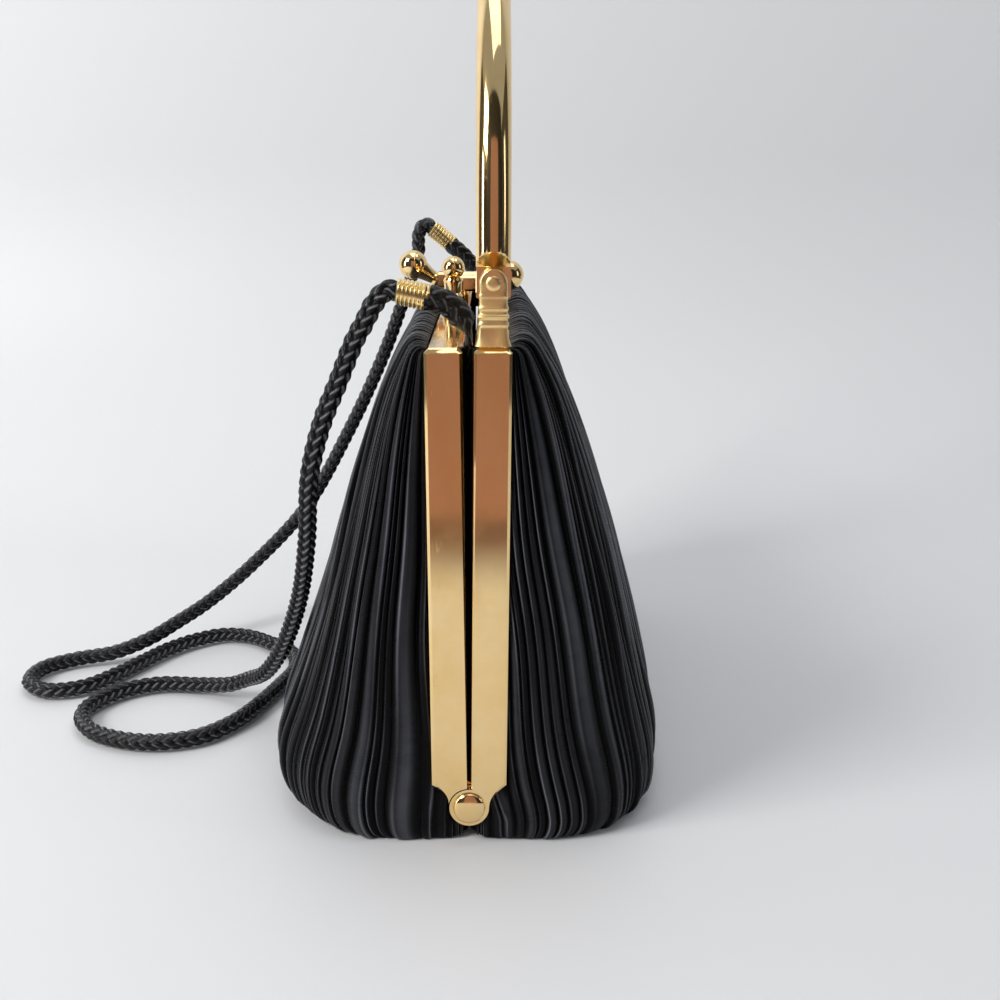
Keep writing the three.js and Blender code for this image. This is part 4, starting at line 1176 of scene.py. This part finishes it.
def pleat_relief(front, pleat, share, widths, down):
    """Height of the pleats in mm, and their painted highlight. Across a pleat the height
    rises in a quarter sine to the fold, then falls as 1 - f^1.4 over its face, and this is
    mixed with a full arch, (1 - |2 s - 1|^2.4)^0.7, by the pleat's softness. A painted
    highlight lies on the fold as a thin bright line, and a wide face has a painted soft band
    of sheen. Slow waves along each pleat swell it and dim both. Away from the near end the
    pleats are more alike."""
    rng = np.random.default_rng(PLEAT_SEED + front)
    chance = rng.uniform(size=(5, len(widths)))
    chance[:, FINE_PLEATS:] += EVENNESS * (EVEN_VALUE - chance[:, FINE_PLEATS:])
    strength, softness, phase, slow, turned_over = chance[:, pleat]
    share = np.where(turned_over < TURNED_SHARE, 1 - share, share)
    fold = np.sin(np.pi / 2 * np.clip(share / FOLD_SHARE, 0, 1))
    face = 1 - np.clip((share - FOLD_SHARE) / (1 - FOLD_SHARE), 0, 1) ** 1.4
    arch = (1 - np.abs(2 * share - 1) ** 2.4) ** 0.7
    soft = 0.15 + 0.75 * softness
    profile = soft * arch + (1 - soft) * fold * face
    wave = np.sin(down / (9 + 9 * slow) + FULL_TURN * phase)
    tall = np.minimum(PLEAT_SHARE * widths[pleat], PLEAT_LIMIT) * (0.75 + 0.4 * strength)
    # Painted highlight: a thin bright line along the fold, and a painted band of sheen on wide faces, both
    # lightening the satin's colour.
    fold_highlight = np.exp(-(((share - FOLD_SHARE) / FOLD_HIGHLIGHT_WIDTH) ** 2)) * (0.3 + 0.7 * strength)
    wide = np.clip((widths[pleat] - NARROW_PLEAT) / 2, 0, 1)
    sheen = np.exp(-(((share - SHEEN_PLACE) / SHEEN_WIDTH) ** 2)) * wide
    sheen = sheen * (0.55 + 0.45 * phase) * (0.62 + 0.38 * np.sin(down / 23 + FULL_TURN * slow))
    return tall * (0.78 + 0.22 * wave) * profile, fold_highlight * (0.6 + 0.4 * wave) + SHEEN * sheen


# %% Satin pieces
def satin_panel(front, name, node):
    """One panel: the form plus the pleats' height along the form's own normals. The front
    one is the mirror image of the back one's form, with pleats of its own."""
    levels = between_levels(SATIN_ROWS)
    levels[:, 0] += levels[:, 6] * (-1 if front else 1)
    down = FRAME_TOP - levels[:, 1:2]
    length = satin_form(levels, np.zeros((SATIN_ROWS, 1)))[1]
    place, pleat, share, widths = pleat_columns(front, length)
    distance = wandered(front, place[None, :], down)
    ends = (-TUCK_END, length + TUCK_END)
    distance = np.pad(distance, ((0, 0), (1, 1)), constant_values=((0, 0), ends))
    form, _ = satin_form(levels, distance)
    normal = unit(np.cross(np.gradient(form, axis=1), np.gradient(form, axis=0)))
    relief, painted_highlight = pleat_relief(front, pleat, share, widths, down)
    relief, painted_highlight = (np.pad(a, ((0, 0), (1, 1))) for a in (relief, painted_highlight))
    low = below_shoulder(levels[:, 3:4]) * EAR_PLEATS
    near_fade = np.clip(distance / EDGE_FADE, low, 1)
    far_fade = np.clip((length - distance) / EDGE_FADE, low, 1)
    fade = levels[:, 5:6] * near_fade * far_fade
    outside = np.sign(np.einsum("ijk,ijk->", normal, form * (1, 1, 0)))
    points = form + outside * normal * ((relief + RELIEF_LIFT) * np.clip(fade, 0, 1))[..., None]
    points[..., 2] = np.maximum(points[..., 2], 0)
    middle = form[:, form.shape[1] // 2]
    cloth = np.concatenate(([0], np.cumsum(np.linalg.norm(np.diff(middle, axis=0), axis=1))))
    width = np.concatenate((ends[:1], place, ends[1:]))
    uv = np.stack(np.broadcast_arrays(width[None, :] * MM, cloth[:, None] * MM), -1).reshape(-1, 2)
    faces = grid_faces(*distance.shape)
    surface = (points.reshape(-1, 3), [faces if outside > 0 else faces[:, ::-1]])
    if front:
        surface = mirrored(surface, 1)
    # The painted highlight and sheen reach the satin's colour as a value on the mesh.
    values = {"painted_highlight": np.clip(painted_highlight, 0, 1).ravel()}
    piece = make_piece(name, surface, SATIN, [node], uv=uv, values=values, crisp=False)
    wall = piece.modifiers.new("wall", "SOLIDIFY")
    wall.thickness = SATIN_THICKNESS * MM
    wall.offset = -1
    return piece


satin_panel(False, "pleated_back", "back_shell")
satin_panel(True, "pleated_front", "front_shell")

# %% [markdown]
# ## The table and the light
# The bag stands on a pale table in front of a pale wall. One sheet does for both: it runs
# level, curves up and goes on upright, so there is no line where they meet. Seen from
# behind the sheet is clear, so that the bag can be looked at from any side.
#
# The light is soft, from the upper left in front. Cards that only show in reflections give
# the gilt something warm and something dark to reflect.

# %% Table and wall
SHEET_LEVEL = -0.0002
SHEET_BEND = 0.16
SHEET_FOOT = -0.13
SHEET_FRONT = 2.0
SHEET_TOP = 1.3
SHEET_HALF_WIDTH = 2.2
SHEET_COLOUR = (0.79, 0.795, 0.81)


def backdrop():
    """A line carried sideways: level to the foot of the bend, a quarter circle, upright."""
    a = np.linspace(0, np.pi / 2, 24)
    x = np.concatenate(([SHEET_FRONT], SHEET_FOOT - SHEET_BEND * np.sin(a), [SHEET_FOOT - SHEET_BEND]))
    z = SHEET_LEVEL + np.concatenate(([0], SHEET_BEND * (1 - np.cos(a)), [SHEET_TOP]))
    y = np.array([-SHEET_HALF_WIDTH, SHEET_HALF_WIDTH])
    points = np.stack(np.broadcast_arrays(x[:, None], y[None, :], z[:, None]), -1)
    return points.reshape(-1, 3), grid_faces(len(x), 2)


def stage_piece(name, points, faces, material):
    """A mesh of the stage, which isn't part of the object."""
    mesh = bpy.data.meshes.new(name)
    mesh.from_pydata(points.tolist(), [], faces.tolist())
    mesh.polygons.foreach_set("use_smooth", np.ones(len(mesh.polygons), bool))
    mesh.materials.append(material)
    piece = bpy.data.objects.new(name, mesh)
    scene.collection.objects.link(piece)
    return piece


def sheet_material():
    """A pale matt sheet, clear from behind."""
    material, tree, shader = new_material("pale_sheet")
    shader.inputs["Base Color"].default_value = (*SHEET_COLOUR, 1.0)
    shader.inputs["Roughness"].default_value = 0.5
    clear = tree.nodes.new("ShaderNodeBsdfTransparent")
    choose = tree.nodes.new("ShaderNodeMixShader")
    tree.links.new(tree.nodes.new("ShaderNodeNewGeometry").outputs["Backfacing"], choose.inputs["Fac"])
    tree.links.new(shader.outputs["BSDF"], choose.inputs[1])
    tree.links.new(clear.outputs["BSDF"], choose.inputs[2])
    tree.links.new(choose.outputs["Shader"], tree.nodes["Material Output"].inputs["Surface"])
    return material


sheet_points, sheet_faces = backdrop()
stage_piece("table_and_wall", sheet_points, sheet_faces, sheet_material())


# %% Reflection cards
CARD_ROUGHNESS = 0.9
FLOOR_CARD_LIFT = 0.0005
FADE_REACH = (0.262, 0.328)
NEAR_X = 0.362
NEAR_Y = (-0.1, 0.16)
ROOM_BACK = -0.28
ROOM_FRONT = 0.75
ROOM_SIDE = 1.0
SURROUND_FRONT = 1.2
SURROUND_INNER = 0.4
SURROUND_OUTER = 1.4


def card_material(name, colour):
    """A plain matt card."""
    material, _, shader = new_material(name)
    shader.inputs["Base Color"].default_value = (*colour, 1.0)
    shader.inputs["Roughness"].default_value = CARD_ROUGHNESS
    return material


def reflected_only(piece):
    """The piece shows in reflections only."""
    piece.visible_camera = False
    piece.visible_shadow = False
    piece.visible_diffuse = False
    return piece


def card(name, start, end, height, material):
    """An upright card between two places on the table."""
    (x0, y0), (x1, y1) = start, end
    points = np.array([(x0, y0, 0), (x1, y1, 0), (x1, y1, height), (x0, y0, height)])
    return reflected_only(stage_piece(name, points, np.array([[0, 1, 2, 3]]), material))


def fade_material(name, axis, reach, first, second):
    """A card whose colour fades from one to another along an axis."""
    material, tree, shader = new_material(name)
    place = tree.nodes.new("ShaderNodeTexCoord").outputs["Object"]
    split = tree.nodes.new("ShaderNodeSeparateXYZ")
    tree.links.new(place, split.inputs["Vector"])
    share = remap(tree, split.outputs[axis], *reach, 0.0, 1.0)
    tree.links.new(mixed(tree, share, first, second), shader.inputs["Base Color"])
    shader.inputs["Roughness"].default_value = CARD_ROUGHNESS
    return material


def floor_card(name, low, high, material):
    """A card flat on the table, from one corner to the other."""
    (x0, y0), (x1, y1) = low, high
    z = FLOOR_CARD_LIFT
    points = np.array([(x0, y0, z), (x1, y0, z), (x1, y1, z), (x0, y1, z)])
    return reflected_only(stage_piece(name, points, np.array([[0, 1, 2, 3]]), material))


WARM_CARD = fade_material("warm_card", "Z", (0.0, 0.07), (0.56, 0.3, 0.24), (0.47, 0.26, 0.22))
FADING_CARD = fade_material("fading_card", "X", FADE_REACH, SHEET_COLOUR, (0.19, 0.11, 0.09))
DARK_CARD = card_material("dark_card", (0.03, 0.028, 0.026))
SIDE_CARD = card_material("side_card", (0.07, 0.065, 0.06))
card("warm_card", (NEAR_X, NEAR_Y[0]), (NEAR_X, NEAR_Y[1]), 0.36, WARM_CARD)
card("dark_card", (ROOM_FRONT, -ROOM_SIDE), (ROOM_FRONT, ROOM_SIDE), 1.2, DARK_CARD)
floor_card("fading_card", (FADE_REACH[0], NEAR_Y[0]), (NEAR_X, NEAR_Y[1]), FADING_CARD)
floor_card("front_surround", (0.45, -SURROUND_INNER), (SURROUND_FRONT, SURROUND_INNER), SIDE_CARD)
floor_card("left_surround", (ROOM_BACK, -SURROUND_OUTER), (SURROUND_FRONT, -SURROUND_INNER), SIDE_CARD)
floor_card("right_surround", (ROOM_BACK, SURROUND_INNER), (SURROUND_FRONT, SURROUND_OUTER), SIDE_CARD)
card("left_card", (ROOM_BACK, -ROOM_SIDE), (ROOM_FRONT, -ROOM_SIDE), 0.9, SIDE_CARD)
card("right_card", (ROOM_FRONT, ROOM_SIDE), (ROOM_BACK, ROOM_SIDE), 0.9, SIDE_CARD)


# %% Lights
def area_light(name, place, aim, size, power, colour):
    """A soft light of a width and height at a place, aimed at a point."""
    data = bpy.data.lights.new(name, "AREA")
    data.shape = "RECTANGLE"
    data.size, data.size_y = size
    data.energy = power
    data.color = colour
    light = bpy.data.objects.new(name, data)
    light.location = place
    light.rotation_mode = "QUATERNION"
    light.rotation_quaternion = (Vector(aim) - Vector(place)).to_track_quat("-Z", "Y")
    scene.collection.objects.link(light)


BAG_MIDDLE = (0, 0, 0.07)
area_light("key_light", (0.5, -0.75, 0.75), BAG_MIDDLE, (0.4, 0.4), 6.8, (1.0, 0.98, 0.95))
area_light("left_light", (0.3, -0.8, 0.22), BAG_MIDDLE, (0.14, 0.42), 1.3, (1.0, 0.99, 0.97))
area_light("right_light", (0.25, 0.8, 0.3), BAG_MIDDLE, (0.12, 0.4), 0.3, (0.97, 0.98, 1.0))
area_light("top_light", (-0.05, 0.1, 1.1), (0, 0, 0.05), (0.7, 0.7), 2.6, (0.96, 0.98, 1.0))
world = bpy.data.worlds.new("soft_room")
world.use_nodes = True
background = world.node_tree.nodes["Background"]
background.inputs["Color"].default_value = (0.93, 0.96, 1.0, 1.0)
background.inputs["Strength"].default_value = 0.36
scene.world = world
scene.view_settings.view_transform = "Standard"
